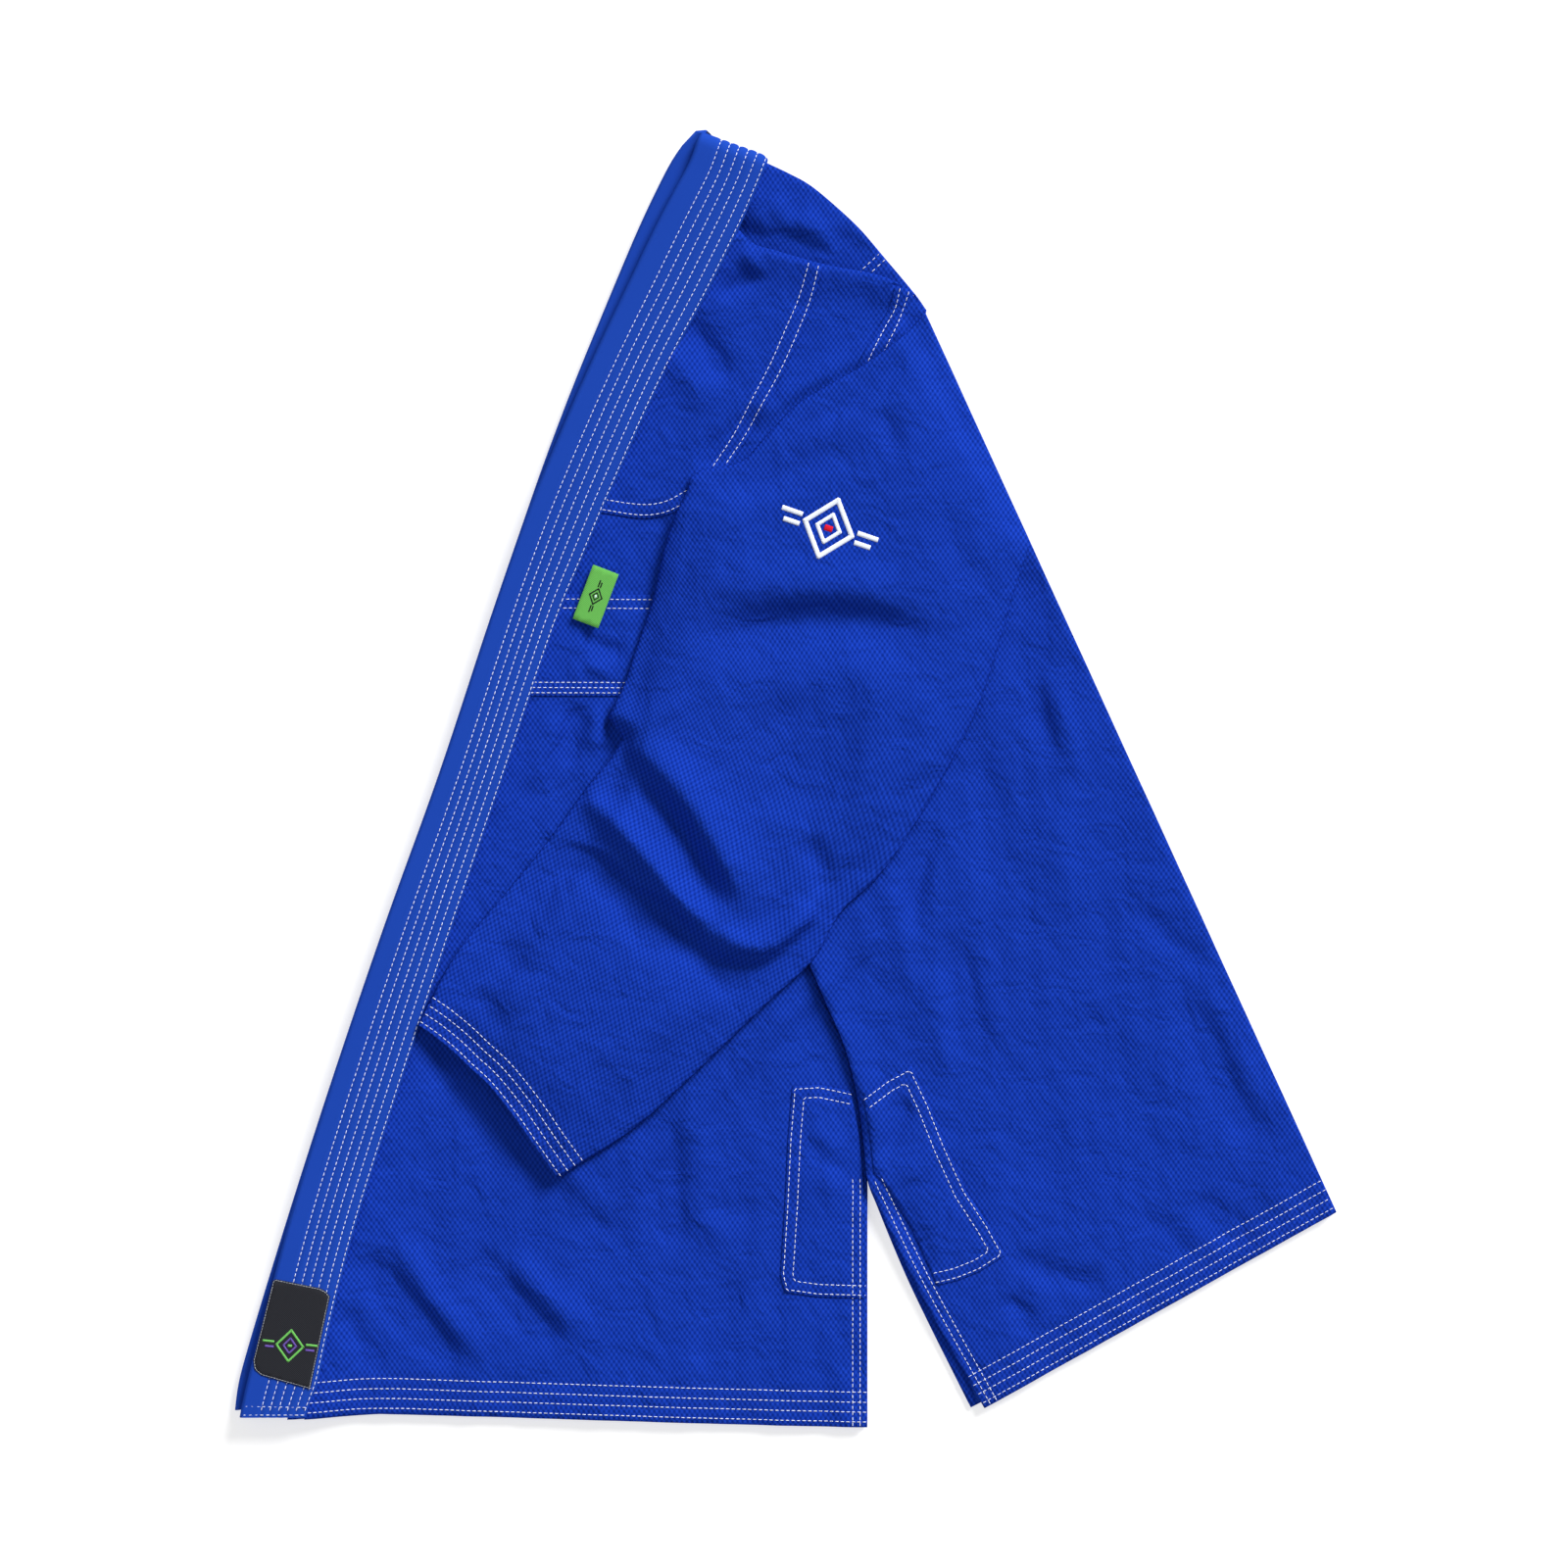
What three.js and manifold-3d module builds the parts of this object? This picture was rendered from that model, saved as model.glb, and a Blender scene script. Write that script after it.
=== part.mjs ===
// A quilted-cotton training jacket of the grappling kind, folded in half down the middle of its back
// and laid flat: left half on top, right half under it, and each sleeve folded over its own half.
// Millimetres, +Z up. While it is drawn, x = 0 is the side vent and y = 0 is the front hem; at the end
// the whole group is moved so that the middle of its box stands on the origin.
import * as THREE from "three";
import { mergeVertices } from "three/addons/utils/BufferGeometryUtils.js";
import Module from "manifold-3d";

// ---- cloth and clearances ----
const PLY = 1.4; // one layer of pearl-weave cotton
const TRIM = 1.0; // a patch, tape or label
const COVER_PLY = 1.0; // twill that wraps the collar core
const CLEARANCE = 0.3; // air between pieces that lie on each other
const SEAM_GAP = 0.4; // air between two edges that meet in one layer
const SLEEVE_LIFT = 0.5; // air under the folded left sleeve
const ARM_SPACE = 7; // air left inside the left sleeve
const CUFF_WALL = 0.8; // thickness of the facing inside a cuff

// ---- body, seen flat ----
const JACKET_LENGTH = 873; // front hem to the nape fold
const FRONT_WIDTH = 424; // vent to the outer edge of the collar at the hem
const NAPE_SIDE = 115; // how far the nape lies on the collar side of the vent
const COLLAR_BEND_SIDE = 293; // the collar's curve is pulled towards this point
const COLLAR_BEND_RISE = 459;
const COLLAR_FOOT_RISE = 12; // the collar's outer corner stands this much over the hem
const SHOULDER_SIDE = 39; // shoulder corner, on the back side of the vent
const SHOULDER_DROP = 122; // below the nape
const BACK_REACH = 316; // back hem corner from the vent
const BACK_HEM_RISE = 145; // height of that corner over the front hem
const VENT_DEPTH = 166;
const VENT_SPREAD = 79; // how far the back edge of the vent stands open at the hem
const VENT_BACK_RISE = 13;
const FAR_VENT_PEEK = 9; // the right half's vent edge shows this much past the left half's
const ARMPIT_SIDE = 63;
const ARMPIT_DROP = 400; // below the nape
const ARMHOLE_OPENING = 34;
const SHOULDER_SEAM_END = [-31, -109]; // from the vent line and the nape
const YOKE_CROWN = [44, -27]; // a point of the yoke's round top edge, from the collar's corner
const YOKE_DIP = 64; // where the shoulder seam meets the collar, below the nape

// ---- collar ----
const COLLAR_WIDTH = 45;
const COLLAR_THICKNESS = 8.5;
const LEG_GAP = 0.5; // between the two legs of the collar, one lying on the other
const COLLAR_INSERT = 10; // how far a panel goes into the collar
const FAR_COLLAR_BOW = 9; // the right leg bows out past the left one
const NAPE_OVERLAP = 2; // the bend at the nape starts this far inside both legs
const COLLAR_STEPS = 14;

// ---- sleeves ----
const CREASE_ANGLE = 215; // degrees, direction of the shoulder crease from the shoulder corner
const CREASE_LENGTH = 192;
const UPPER_ARM = 316;
const UPPER_ARM_ANGLE = 263;
const FOREARM = 240;
const FOREARM_ANGLE = 222.4;
const ELBOW_INNER = [118, 142]; // reach and direction of the elbow's corner from the arm's middle
const ELBOW_OUTER = [84, 345];
const ARM_ROOT = 170; // sleeve edge that lies along the back fold
const CUFF_WIDTH = 139;
const CUFF_FACING = 30;
const RIGHT_SLEEVE_TURN = 5; // degrees, the least that the hidden sleeve is turned in
const RIGHT_SLEEVE_TO_COLLAR = 20; // it is turned further where it would come closer than this
const RIGHT_SLEEVE_INSET = 5;

// ---- trims ----
const NECK_PATCH_DROP = 242; // lowest point of the neck patch under the nape
const NECK_PATCH_REACH = 68; // its width at the shoulder seam
const CHEST_PATCH_TOP = 312; // under the nape
const CHEST_PATCH_DEPTH = 62;
const VENT_PATCH_WIDTH = 57;
const VENT_PATCH_RISE = 62; // above the top of the vent
const VENT_PATCH_DROP = 77; // below the top of the vent
const VENT_BACK_PATCH_WIDTH = 35;
const HEM_TAPE = 25;
const SEAM_TAPE = 16;
const ARMHOLE_TAPE = 14;
const LABEL_LENGTH = 62;
const LABEL_RISE = 27;
const LABEL_SLANT = 6; // its collar-side end is set lower, square to the collar
const LABEL_MARGIN = 1.5;
const LABEL_CORNER = 11;
const TAB_LENGTH = 36;
const TAB_REACH = 18;
const TAB_DROP = 292; // its top end under the nape
const EMBLEM_SIZE = [33, 25]; // half width and half height
const EMBLEM_PLACE = [-28, 150]; // from the vent line, and below the shoulder corner
const EDGE_MARGIN = 1.0; // trims stop this far inside the edge of what they lie on

// ---- heights of the layers, from the floor up ----
const rightSleeveUnder = 0;
const rightSleeveUpper = rightSleeveUnder + PLY + CUFF_WALL + 2 * CLEARANCE;
const rightOuterTrim = rightSleeveUpper + PLY + CLEARANCE;
const rightPanel = rightOuterTrim + TRIM + CLEARANCE;
const rightInnerTrim = rightPanel + PLY + CLEARANCE;
const rightLeg = Math.max(0, rightPanel + PLY + CLEARANCE + COVER_PLY - COLLAR_THICKNESS);
const leftLeg = rightLeg + COLLAR_THICKNESS + LEG_GAP;
const collarTop = leftLeg + COLLAR_THICKNESS;
const leftPanel = collarTop - COVER_PLY - CLEARANCE - PLY;
const leftInnerTrim = leftPanel - CLEARANCE - TRIM;
const leftOuterTrim = leftPanel + PLY + CLEARANCE;
const leftSleeveUnder = Math.max(leftOuterTrim + TRIM, collarTop) + SLEEVE_LIFT;
const leftSleeveUpper = leftSleeveUnder + PLY + ARM_SPACE;
const emblemLevel = leftSleeveUpper + PLY + CLEARANCE;
const labelLevel = collarTop + CLEARANCE;

const SIDES = {
  left: {
    panel: leftPanel,
    inner: leftInnerTrim,
    outer: leftOuterTrim,
    leg: leftLeg,
    bow: 0,
    peek: 0,
  },
  right: {
    panel: rightPanel,
    inner: rightInnerTrim,
    outer: rightOuterTrim,
    leg: rightLeg,
    bow: FAR_COLLAR_BOW,
    peek: FAR_VENT_PEEK,
  },
};

const BLUE = { color: 0x1f3fa8, roughness: 0.9, metalness: 0 };
const TWILL_BLUE = { color: 0x2c4fb4, roughness: 0.8, metalness: 0 };
const CORE_GREY = { color: 0x2a2c30, roughness: 0.95, metalness: 0 };
const LABEL_BLACK = { color: 0x2a2b2f, roughness: 0.55, metalness: 0 };
const TAB_GREEN = { color: 0x5ea355, roughness: 0.7, metalness: 0 };
const THREAD_WHITE = { color: 0xf2f3f5, roughness: 0.6, metalness: 0 };

const wasm = await Module();
wasm.setup();
const jacket = new THREE.Group();

// ---- drawing helpers ----
const point = (x, y) => new THREE.Vector2(x, y);

function polar([reach, degrees], from = point(0, 0)) {
  const a = THREE.MathUtils.degToRad(degrees);
  return point(from.x + reach * Math.cos(a), from.y + reach * Math.sin(a));
}

function curveThrough(points, steps) {
  return new THREE.SplineCurve(points).getPoints(steps);
}

// A line or curve moved sideways; positive distances go to its right as it runs down the page.
function shifted(points, distance) {
  return points.map((p, i) => {
    const before = points[Math.max(i - 1, 0)];
    const after = points[Math.min(i + 1, points.length - 1)];
    const along = after.clone().sub(before).normalize();
    return point(p.x - along.y * distance, p.y + along.x * distance);
  });
}

function between(a, b, share) {
  return a.clone().lerp(b, share);
}

function slabGeometry(outline, bottom, thickness) {
  const shape = new THREE.Shape(outline);
  const geometry = new THREE.ExtrudeGeometry(shape, { depth: thickness, bevelEnabled: false });
  return geometry.translate(0, 0, bottom);
}

function addMesh(name, geometry, finish, parent = jacket) {
  const mesh = new THREE.Mesh(geometry, new THREE.MeshStandardMaterial(finish));
  mesh.name = name;
  parent.add(mesh);
  return mesh;
}

function addSlab(name, outline, bottom, thickness, finish = BLUE) {
  return addMesh(name, slabGeometry(outline, bottom, thickness), finish);
}

function toSolid(geometry) {
  const bare = geometry.clone();
  bare.deleteAttribute("normal");
  bare.deleteAttribute("uv");
  const merged = mergeVertices(bare, 1e-4);
  return new wasm.Manifold(
    new wasm.Mesh({
      numProp: 3,
      vertProperties: merged.attributes.position.array,
      triVerts: new Uint32Array(merged.index.array),
    }),
  );
}

function toGeometry(solid) {
  const mesh = solid.getMesh();
  const geometry = new THREE.BufferGeometry();
  geometry.setAttribute("position", new THREE.BufferAttribute(mesh.vertProperties, 3));
  geometry.setIndex(new THREE.BufferAttribute(mesh.triVerts, 1));
  geometry.computeVertexNormals();
  return geometry;
}

function joined(geometries) {
  return toGeometry(geometries.map(toSolid).reduce((whole, next) => whole.add(next)));
}

// ---- lines that several pieces share ----
const nape = point(-NAPE_SIDE, JACKET_LENGTH);
const shoulder = point(SHOULDER_SIDE, JACKET_LENGTH - SHOULDER_DROP);
const backCorner = point(BACK_REACH, BACK_HEM_RISE);
const armpit = point(-ARMPIT_SIDE, JACKET_LENGTH - ARMPIT_DROP);
const ventTop = point(0, VENT_DEPTH);
const seamEnd = point(-SHOULDER_SEAM_END[0], JACKET_LENGTH + SHOULDER_SEAM_END[1]);

// Outer edge of one leg of the collar, from the nape down to the hem.
function collarEdge(bow) {
  const foot = point(-FRONT_WIDTH - bow / 3, COLLAR_FOOT_RISE);
  const pull = point(-COLLAR_BEND_SIDE - bow, COLLAR_BEND_RISE);
  return new THREE.QuadraticBezierCurve(nape, pull, foot).getPoints(COLLAR_STEPS);
}

// The same curve at a distance across the collar, 0 at its outer edge.
function acrossCollar(bow, distance) {
  return shifted(collarEdge(bow), distance);
}

// The point of a line at height y, on the line's last stretch carried on where it ends higher.
function pointBelow(line, y) {
  const found = line.findIndex((p) => p.y <= y);
  const i = found < 0 ? line.length - 1 : Math.max(found, 1);
  const share = (line[i - 1].y - y) / (line[i - 1].y - line[i].y);
  return between(line[i - 1], line[i], share);
}

// The part of a line that runs down the page from height top to height bottom.
function stretch(line, top, bottom) {
  const middle = line.filter((p) => p.y < top - 1 && p.y > bottom + 1);
  const first = top >= line[0].y ? line[0] : pointBelow(line, top);
  const last = bottom <= line.at(-1).y ? line.at(-1) : pointBelow(line, bottom);
  return [first, ...middle, last];
}

function sideSeam() {
  const lower = point(-12, VENT_DEPTH + 79);
  const upper = point(-48, VENT_DEPTH + 175);
  return curveThrough([ventTop, lower, upper, armpit], 8);
}

function armholeFront() {
  const knee = point(shoulder.x - 41, shoulder.y - 37);
  const waist = point(armpit.x + 7, armpit.y + 93);
  return curveThrough([seamEnd, knee, waist, armpit], 10);
}

function armholeBack() {
  const front = armholeFront();
  return front.map((p, i) => {
    const share = i / (front.length - 1);
    return point(p.x + ARMHOLE_OPENING * Math.sin(Math.PI * share), p.y);
  });
}

function shoulderSeam() {
  const start = pointBelow(acrossCollar(0, COLLAR_WIDTH), JACKET_LENGTH - YOKE_DIP);
  const rise = between(start, seamEnd, 0.5);
  return curveThrough([start, point(rise.x, rise.y + 4), seamEnd], 6);
}

function ventBackEdge(peek) {
  const foot = point(VENT_SPREAD - peek, VENT_BACK_RISE);
  const waist = between(ventTop, foot, 0.45);
  return curveThrough([ventTop, point(waist.x - 3, waist.y), foot], 6);
}

// ---- the four body panels ----
function frontPanel(side) {
  const { bow } = SIDES[side];
  const seam = shoulderSeam();
  const edge = acrossCollar(bow, COLLAR_WIDTH - COLLAR_INSERT);
  const inside = stretch(edge, seam[0].y - SEAM_GAP, 0);
  return [
    ...inside,
    point(-SEAM_GAP, 0),
    point(-SEAM_GAP, VENT_DEPTH),
    ...shifted(sideSeam(), SEAM_GAP).slice(1, -1),
    ...armholeFront().reverse(),
    ...shifted(seam, -SEAM_GAP).reverse().slice(1, -1),
  ];
}

function backPanel(side) {
  const { bow, peek } = SIDES[side];
  const seam = shoulderSeam();
  const edge = acrossCollar(bow, COLLAR_WIDTH - COLLAR_INSERT);
  const top = acrossCollar(bow, COLLAR_WIDTH)[0];
  const crown = point(top.x + YOKE_CROWN[0], top.y + YOKE_CROWN[1]);
  const yokeEnd = point(seamEnd.x + 2, seamEnd.y + 8);
  const yoke = curveThrough([top, crown, yokeEnd, shoulder], 8);
  return [
    ...stretch(edge, JACKET_LENGTH, seam[0].y + 2 * SEAM_GAP).reverse(),
    ...yoke,
    backCorner,
    ...ventBackEdge(peek).reverse().slice(0, -1),
    point(SEAM_GAP, VENT_DEPTH),
    ...shifted(sideSeam(), -SEAM_GAP).slice(1),
    ...armholeBack().reverse().slice(1, -1),
    point(seamEnd.x + SEAM_GAP, seamEnd.y + SEAM_GAP),
    ...shifted(seam, SEAM_GAP).reverse().slice(1),
  ];
}

function ribbon(line, inner, outer) {
  return [...shifted(line, inner), ...shifted(line, outer).reverse()];
}

function addBody(side) {
  const { panel, inner, outer, bow, peek } = SIDES[side];
  addSlab(`${side}_front_panel`, frontPanel(side), panel, PLY);
  addSlab(`back_panel_${side}_half`, backPanel(side), panel, PLY);

  // Reinforcements sewn to the outside.
  const collarSide = acrossCollar(bow, COLLAR_WIDTH + SEAM_GAP);
  const seam = shoulderSeam();
  const neckFoot = JACKET_LENGTH - NECK_PATCH_DROP;
  const neckLeft = stretch(collarSide, seam[0].y - 3, neckFoot);
  const neckOuter = point(seam[0].x + NECK_PATCH_REACH, seam[0].y - NECK_PATCH_REACH / 2);
  const neckWaist = point(neckOuter.x - 25, neckOuter.y - 62);
  const neckTurn = point(neckLeft.at(-1).x + 74, neckFoot + 14);
  const neckEdge = curveThrough([neckLeft.at(-1), neckTurn, neckWaist, neckOuter], 8);
  addSlab(`${side}_neck_patch`, [...neckLeft, ...neckEdge.slice(1)], outer, TRIM);

  const chestTop = JACKET_LENGTH - CHEST_PATCH_TOP;
  const chestLeft = stretch(collarSide, chestTop, chestTop - CHEST_PATCH_DEPTH);
  const headEdge = armpit.x - ARMHOLE_TAPE;
  addSlab(
    `${side}_chest_patch`,
    [...chestLeft, point(headEdge, chestLeft.at(-1).y), point(headEdge, chestTop)],
    outer,
    TRIM,
  );

  const patchTop = VENT_DEPTH + VENT_PATCH_RISE;
  const seamNear = stretch(shifted(sideSeam(), 0).reverse(), patchTop, VENT_DEPTH + 1);
  addSlab(
    `${side}_vent_patch_front`,
    [
      ...shifted(seamNear, -SEAM_GAP - EDGE_MARGIN),
      point(-SEAM_GAP - EDGE_MARGIN, VENT_DEPTH - VENT_PATCH_DROP),
      point(-VENT_PATCH_WIDTH, VENT_DEPTH - VENT_PATCH_DROP),
      point(-VENT_PATCH_WIDTH, patchTop),
    ],
    outer,
    TRIM,
  );
  const ventLine = stretch(ventBackEdge(peek), VENT_DEPTH, VENT_DEPTH - VENT_PATCH_DROP + 12);
  const backInner = shifted(ventLine, EDGE_MARGIN + SEAM_GAP);
  const backOuter = shifted(ventLine, VENT_BACK_PATCH_WIDTH);
  addSlab(
    `${side}_vent_patch_back`,
    [
      ...shifted(seamNear, SEAM_GAP + EDGE_MARGIN),
      ...backInner.slice(1),
      ...backOuter.reverse(),
      point(seamNear[0].x + VENT_BACK_PATCH_WIDTH, patchTop + 12),
    ],
    outer,
    TRIM,
  );

  // Tapes sewn to the inside.
  const besideCollar = acrossCollar(bow, COLLAR_WIDTH + EDGE_MARGIN);
  const ventEnd = -SEAM_GAP - EDGE_MARGIN;
  addSlab(
    `${side}_front_hem_tape`,
    [
      pointBelow(besideCollar, EDGE_MARGIN),
      point(ventEnd, EDGE_MARGIN),
      point(ventEnd, HEM_TAPE),
      pointBelow(besideCollar, HEM_TAPE),
    ],
    inner,
    TRIM,
  );
  const hem = [ventBackEdge(peek).at(-1), backCorner];
  const hemWithin = [between(hem[0], hem[1], 0.02), between(hem[0], hem[1], 0.98)];
  const backHemStrip = shifted(hemWithin, EDGE_MARGIN);
  const backHemTop = shifted([between(hem[0], hem[1], 0.03), between(hem[0], hem[1], 0.94)], HEM_TAPE);
  addSlab(`${side}_back_hem_tape`, [...backHemStrip, ...backHemTop.reverse()], inner, TRIM);
  addSlab(
    `${side}_side_seam_tape`,
    ribbon(stretch(sideSeam().reverse(), armpit.y - 20, VENT_DEPTH), -SEAM_TAPE / 2, SEAM_TAPE / 2),
    inner,
    TRIM,
  );
  addSlab(
    `${side}_armhole_tape`,
    ribbon(armholeFront().slice(1, -1), -ARMHOLE_TAPE, -EDGE_MARGIN),
    inner,
    TRIM,
  );
}

// ---- collar: a folded twill cover round a firm core ----
// One leg is a section carried along the collar's curve. The section's points are (across, up).
function sweepLeg(bow, bottom, section) {
  const rows = section.map(([across, up]) => ({ line: acrossCollar(bow, across), z: bottom + up }));
  const count = section.length;
  const steps = rows[0].line.length;
  const positions = [];
  for (let i = 0; i < steps; i++) {
    rows.forEach(({ line, z }) => positions.push(line[i].x, line[i].y, z));
  }
  const index = [];
  for (let i = 0; i + 1 < steps; i++) {
    for (let j = 0; j < count; j++) {
      const a = i * count + j;
      const b = i * count + ((j + 1) % count);
      index.push(a, b, b + count, a, b + count, a + count);
    }
  }
  const cap = THREE.ShapeUtils.triangulateShape(section.map(([x, y]) => point(x, y)), []);
  const last = (steps - 1) * count;
  cap.forEach(([a, b, c]) => index.push(a, c, b, last + a, last + b, last + c));
  const geometry = new THREE.BufferGeometry();
  geometry.setAttribute("position", new THREE.Float32BufferAttribute(positions, 3));
  geometry.setIndex(index);
  return geometry;
}

// The bend at the nape that joins the two legs: half a ring, carried across the collar.
function napeBend(innerRadius, outerRadius, from, to) {
  const ring = new THREE.Shape();
  ring.moveTo(-NAPE_OVERLAP, -outerRadius);
  ring.absarc(0, 0, outerRadius, -Math.PI / 2, Math.PI / 2, false);
  ring.lineTo(-NAPE_OVERLAP, outerRadius);
  if (innerRadius > 0) {
    ring.lineTo(-NAPE_OVERLAP, innerRadius);
    ring.absarc(0, 0, innerRadius, Math.PI / 2, -Math.PI / 2, true);
    ring.lineTo(-NAPE_OVERLAP, -innerRadius);
  }
  const geometry = new THREE.ExtrudeGeometry(ring, {
    depth: to - from,
    bevelEnabled: false,
    curveSegments: 8,
  });
  const edge = collarEdge(0);
  const up = edge[0].clone().sub(edge[1]).normalize();
  const across = point(up.y, -up.x);
  const middle = (rightLeg + collarTop) / 2;
  const start = point(edge[0].x + across.x * from, edge[0].y + across.y * from);
  const axes = new THREE.Matrix4().makeBasis(
    new THREE.Vector3(up.x, up.y, 0),
    new THREE.Vector3(0, 0, 1),
    new THREE.Vector3(across.x, across.y, 0),
  );
  axes.setPosition(start.x, start.y, middle);
  return geometry.applyMatrix4(axes);
}

function addCollar() {
  const w = COLLAR_WIDTH;
  const h = COLLAR_THICKNESS;
  const t = COVER_PLY;
  const coverSection = [
    [0, 0],
    [w, 0],
    [w, t],
    [t, t],
    [t, h - t],
    [w, h - t],
    [w, h],
    [0, h],
  ];
  const coreWidth = w - COLLAR_INSERT - CLEARANCE - t;
  const coreSection = [
    [t + CLEARANCE, t + CLEARANCE],
    [coreWidth, t + CLEARANCE],
    [coreWidth, h - t - CLEARANCE],
    [t + CLEARANCE, h - t - CLEARANCE],
  ];
  const outside = (collarTop - rightLeg) / 2;
  const heart = LEG_GAP / 2;
  const cover = joined([
    sweepLeg(0, leftLeg, coverSection),
    sweepLeg(FAR_COLLAR_BOW, rightLeg, coverSection),
    napeBend(outside - t, outside, 0, w),
    napeBend(heart, heart + t, 0, w),
    napeBend(0, outside, 0, t),
  ]);
  addMesh("collar_cover", cover, TWILL_BLUE);
  const core = joined([
    sweepLeg(0, leftLeg, coreSection),
    sweepLeg(FAR_COLLAR_BOW, rightLeg, coreSection),
    napeBend(heart + t + CLEARANCE, outside - t - CLEARANCE, t + CLEARANCE, coreWidth),
  ]);
  addMesh("collar_core", core, CORE_GREY);
}

// ---- sleeves ----
const creaseEnd = polar([CREASE_LENGTH, CREASE_ANGLE], shoulder);
const elbow = polar([UPPER_ARM, UPPER_ARM_ANGLE], between(shoulder, creaseEnd, 0.5));
const cuff = polar([FOREARM, FOREARM_ANGLE], elbow);
const cuffInner = polar([CUFF_WIDTH / 2, FOREARM_ANGLE - 90], cuff);
const cuffOuter = polar([CUFF_WIDTH / 2, FOREARM_ANGLE + 90], cuff);
const root = shoulder.clone().add(backCorner.clone().sub(shoulder).setLength(ARM_ROOT));

function sleeveOutline() {
  const corner = polar(ELBOW_INNER, elbow);
  const bulge = point(creaseEnd.x - 24, between(creaseEnd, corner, 0.45).y);
  const outerElbow = polar(ELBOW_OUTER, elbow);
  const inner = curveThrough([creaseEnd, bulge, corner, between(corner, cuffInner, 0.5), cuffInner], 12);
  const outer = curveThrough([cuffOuter, between(cuffOuter, outerElbow, 0.6), outerElbow, root], 12);
  return [...inner, ...outer, shoulder];
}

// The hidden sleeve has the same outline, turned and drawn in a little so that it stays hidden.
function turnedBy(p, degrees) {
  const turned = p.clone().rotateAround(root, THREE.MathUtils.degToRad(degrees));
  return point(turned.x - RIGHT_SLEEVE_INSET, turned.y - RIGHT_SLEEVE_INSET / 2);
}

function hiddenSleeveTurn(outline) {
  const collarSide = acrossCollar(FAR_COLLAR_BOW, COLLAR_WIDTH + RIGHT_SLEEVE_TO_COLLAR);
  const clears = (p) => p.x > pointBelow(collarSide, p.y).x;
  let degrees = RIGHT_SLEEVE_TURN;
  while (degrees < 90 && !outline.every((p) => clears(turnedBy(p, degrees)))) degrees += 1;
  return degrees;
}

function cuffStrip(margin) {
  const back = FOREARM_ANGLE + 180;
  const start = polar([margin, back], cuff);
  const end = polar([CUFF_FACING, back], cuff);
  const half = CUFF_WIDTH / 2 - 2 * margin;
  return [
    polar([half, FOREARM_ANGLE - 90], start),
    polar([half, FOREARM_ANGLE + 90], start),
    polar([half, FOREARM_ANGLE + 90], end),
    polar([half, FOREARM_ANGLE - 90], end),
  ];
}

// The facing in the open left cuff is a flattened ring that the hand goes through.
function addLeftCuffFacing() {
  const half = CUFF_WIDTH / 2 - 2 * EDGE_MARGIN;
  const height = ARM_SPACE - 2 * CLEARANCE;
  const ring = new THREE.Shape([point(-half, 0), point(half, 0), point(half, height), point(-half, height)]);
  const inside = half - CUFF_WALL;
  const top = height - CUFF_WALL;
  ring.holes.push(
    new THREE.Path([
      point(-inside, CUFF_WALL),
      point(-inside, top),
      point(inside, top),
      point(inside, CUFF_WALL),
    ]),
  );
  const geometry = new THREE.ExtrudeGeometry(ring, { depth: CUFF_FACING, bevelEnabled: false });
  const towardsHand = polar([1, FOREARM_ANGLE]);
  const axes = new THREE.Matrix4().makeBasis(
    new THREE.Vector3(-towardsHand.y, towardsHand.x, 0),
    new THREE.Vector3(0, 0, 1),
    new THREE.Vector3(towardsHand.x, towardsHand.y, 0),
  );
  const start = polar([CUFF_FACING + EDGE_MARGIN, FOREARM_ANGLE + 180], cuff);
  axes.setPosition(start.x, start.y, leftSleeveUnder + PLY + CLEARANCE);
  addMesh("left_cuff_facing", geometry.applyMatrix4(axes), BLUE);
}

function sleeveHead() {
  const front = shifted(armholeFront(), -ARMHOLE_TAPE / 2);
  const back = shifted(armholeBack(), ARMHOLE_TAPE / 2);
  return [...front.slice(1, -1), ...back.slice(2, -1).reverse(), shoulder];
}

function addSleeves() {
  const outline = sleeveOutline();
  addSlab("left_sleeve_head", sleeveHead(), leftOuterTrim, TRIM);
  addSlab("right_sleeve_head", sleeveHead(), rightOuterTrim, TRIM);
  addSlab("left_sleeve_under", outline, leftSleeveUnder, PLY);
  addSlab("left_sleeve_upper", outline, leftSleeveUpper, PLY);
  addLeftCuffFacing();
  const turn = hiddenSleeveTurn(outline);
  const turnedUnder = (p) => turnedBy(p, turn);
  const hidden = outline.map(turnedUnder);
  addSlab("right_sleeve_under", hidden, rightSleeveUnder, PLY);
  addSlab("right_sleeve_upper", hidden, rightSleeveUpper, PLY);
  addSlab(
    "right_cuff_facing",
    cuffStrip(EDGE_MARGIN).map(turnedUnder),
    rightSleeveUnder + PLY + CLEARANCE,
    CUFF_WALL,
  );
}

// ---- labels ----
// The label at the foot of the collar has two square corners and two round ones.
function lapelLabelOutline() {
  const top = LABEL_RISE + LABEL_LENGTH;
  const outer = stretch(acrossCollar(0, LABEL_MARGIN), top, LABEL_RISE);
  const inside = acrossCollar(0, COLLAR_WIDTH - LABEL_MARGIN);
  const inner = stretch(inside, top - LABEL_SLANT, LABEL_RISE - LABEL_SLANT);
  const [headLeft, headRight] = [outer[0], inner[0]];
  const [footLeft, footRight] = [outer.at(-1), inner.at(-1)];
  const towards = (from, to) => from.clone().add(to.clone().sub(from).setLength(LABEL_CORNER));
  const rounded = (before, corner, after) =>
    new THREE.QuadraticBezierCurve(towards(corner, before), corner, towards(corner, after)).getPoints(5);
  return [
    headLeft,
    ...rounded(headLeft, footLeft, footRight),
    footRight,
    ...rounded(footRight, headRight, headLeft),
  ];
}

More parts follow.
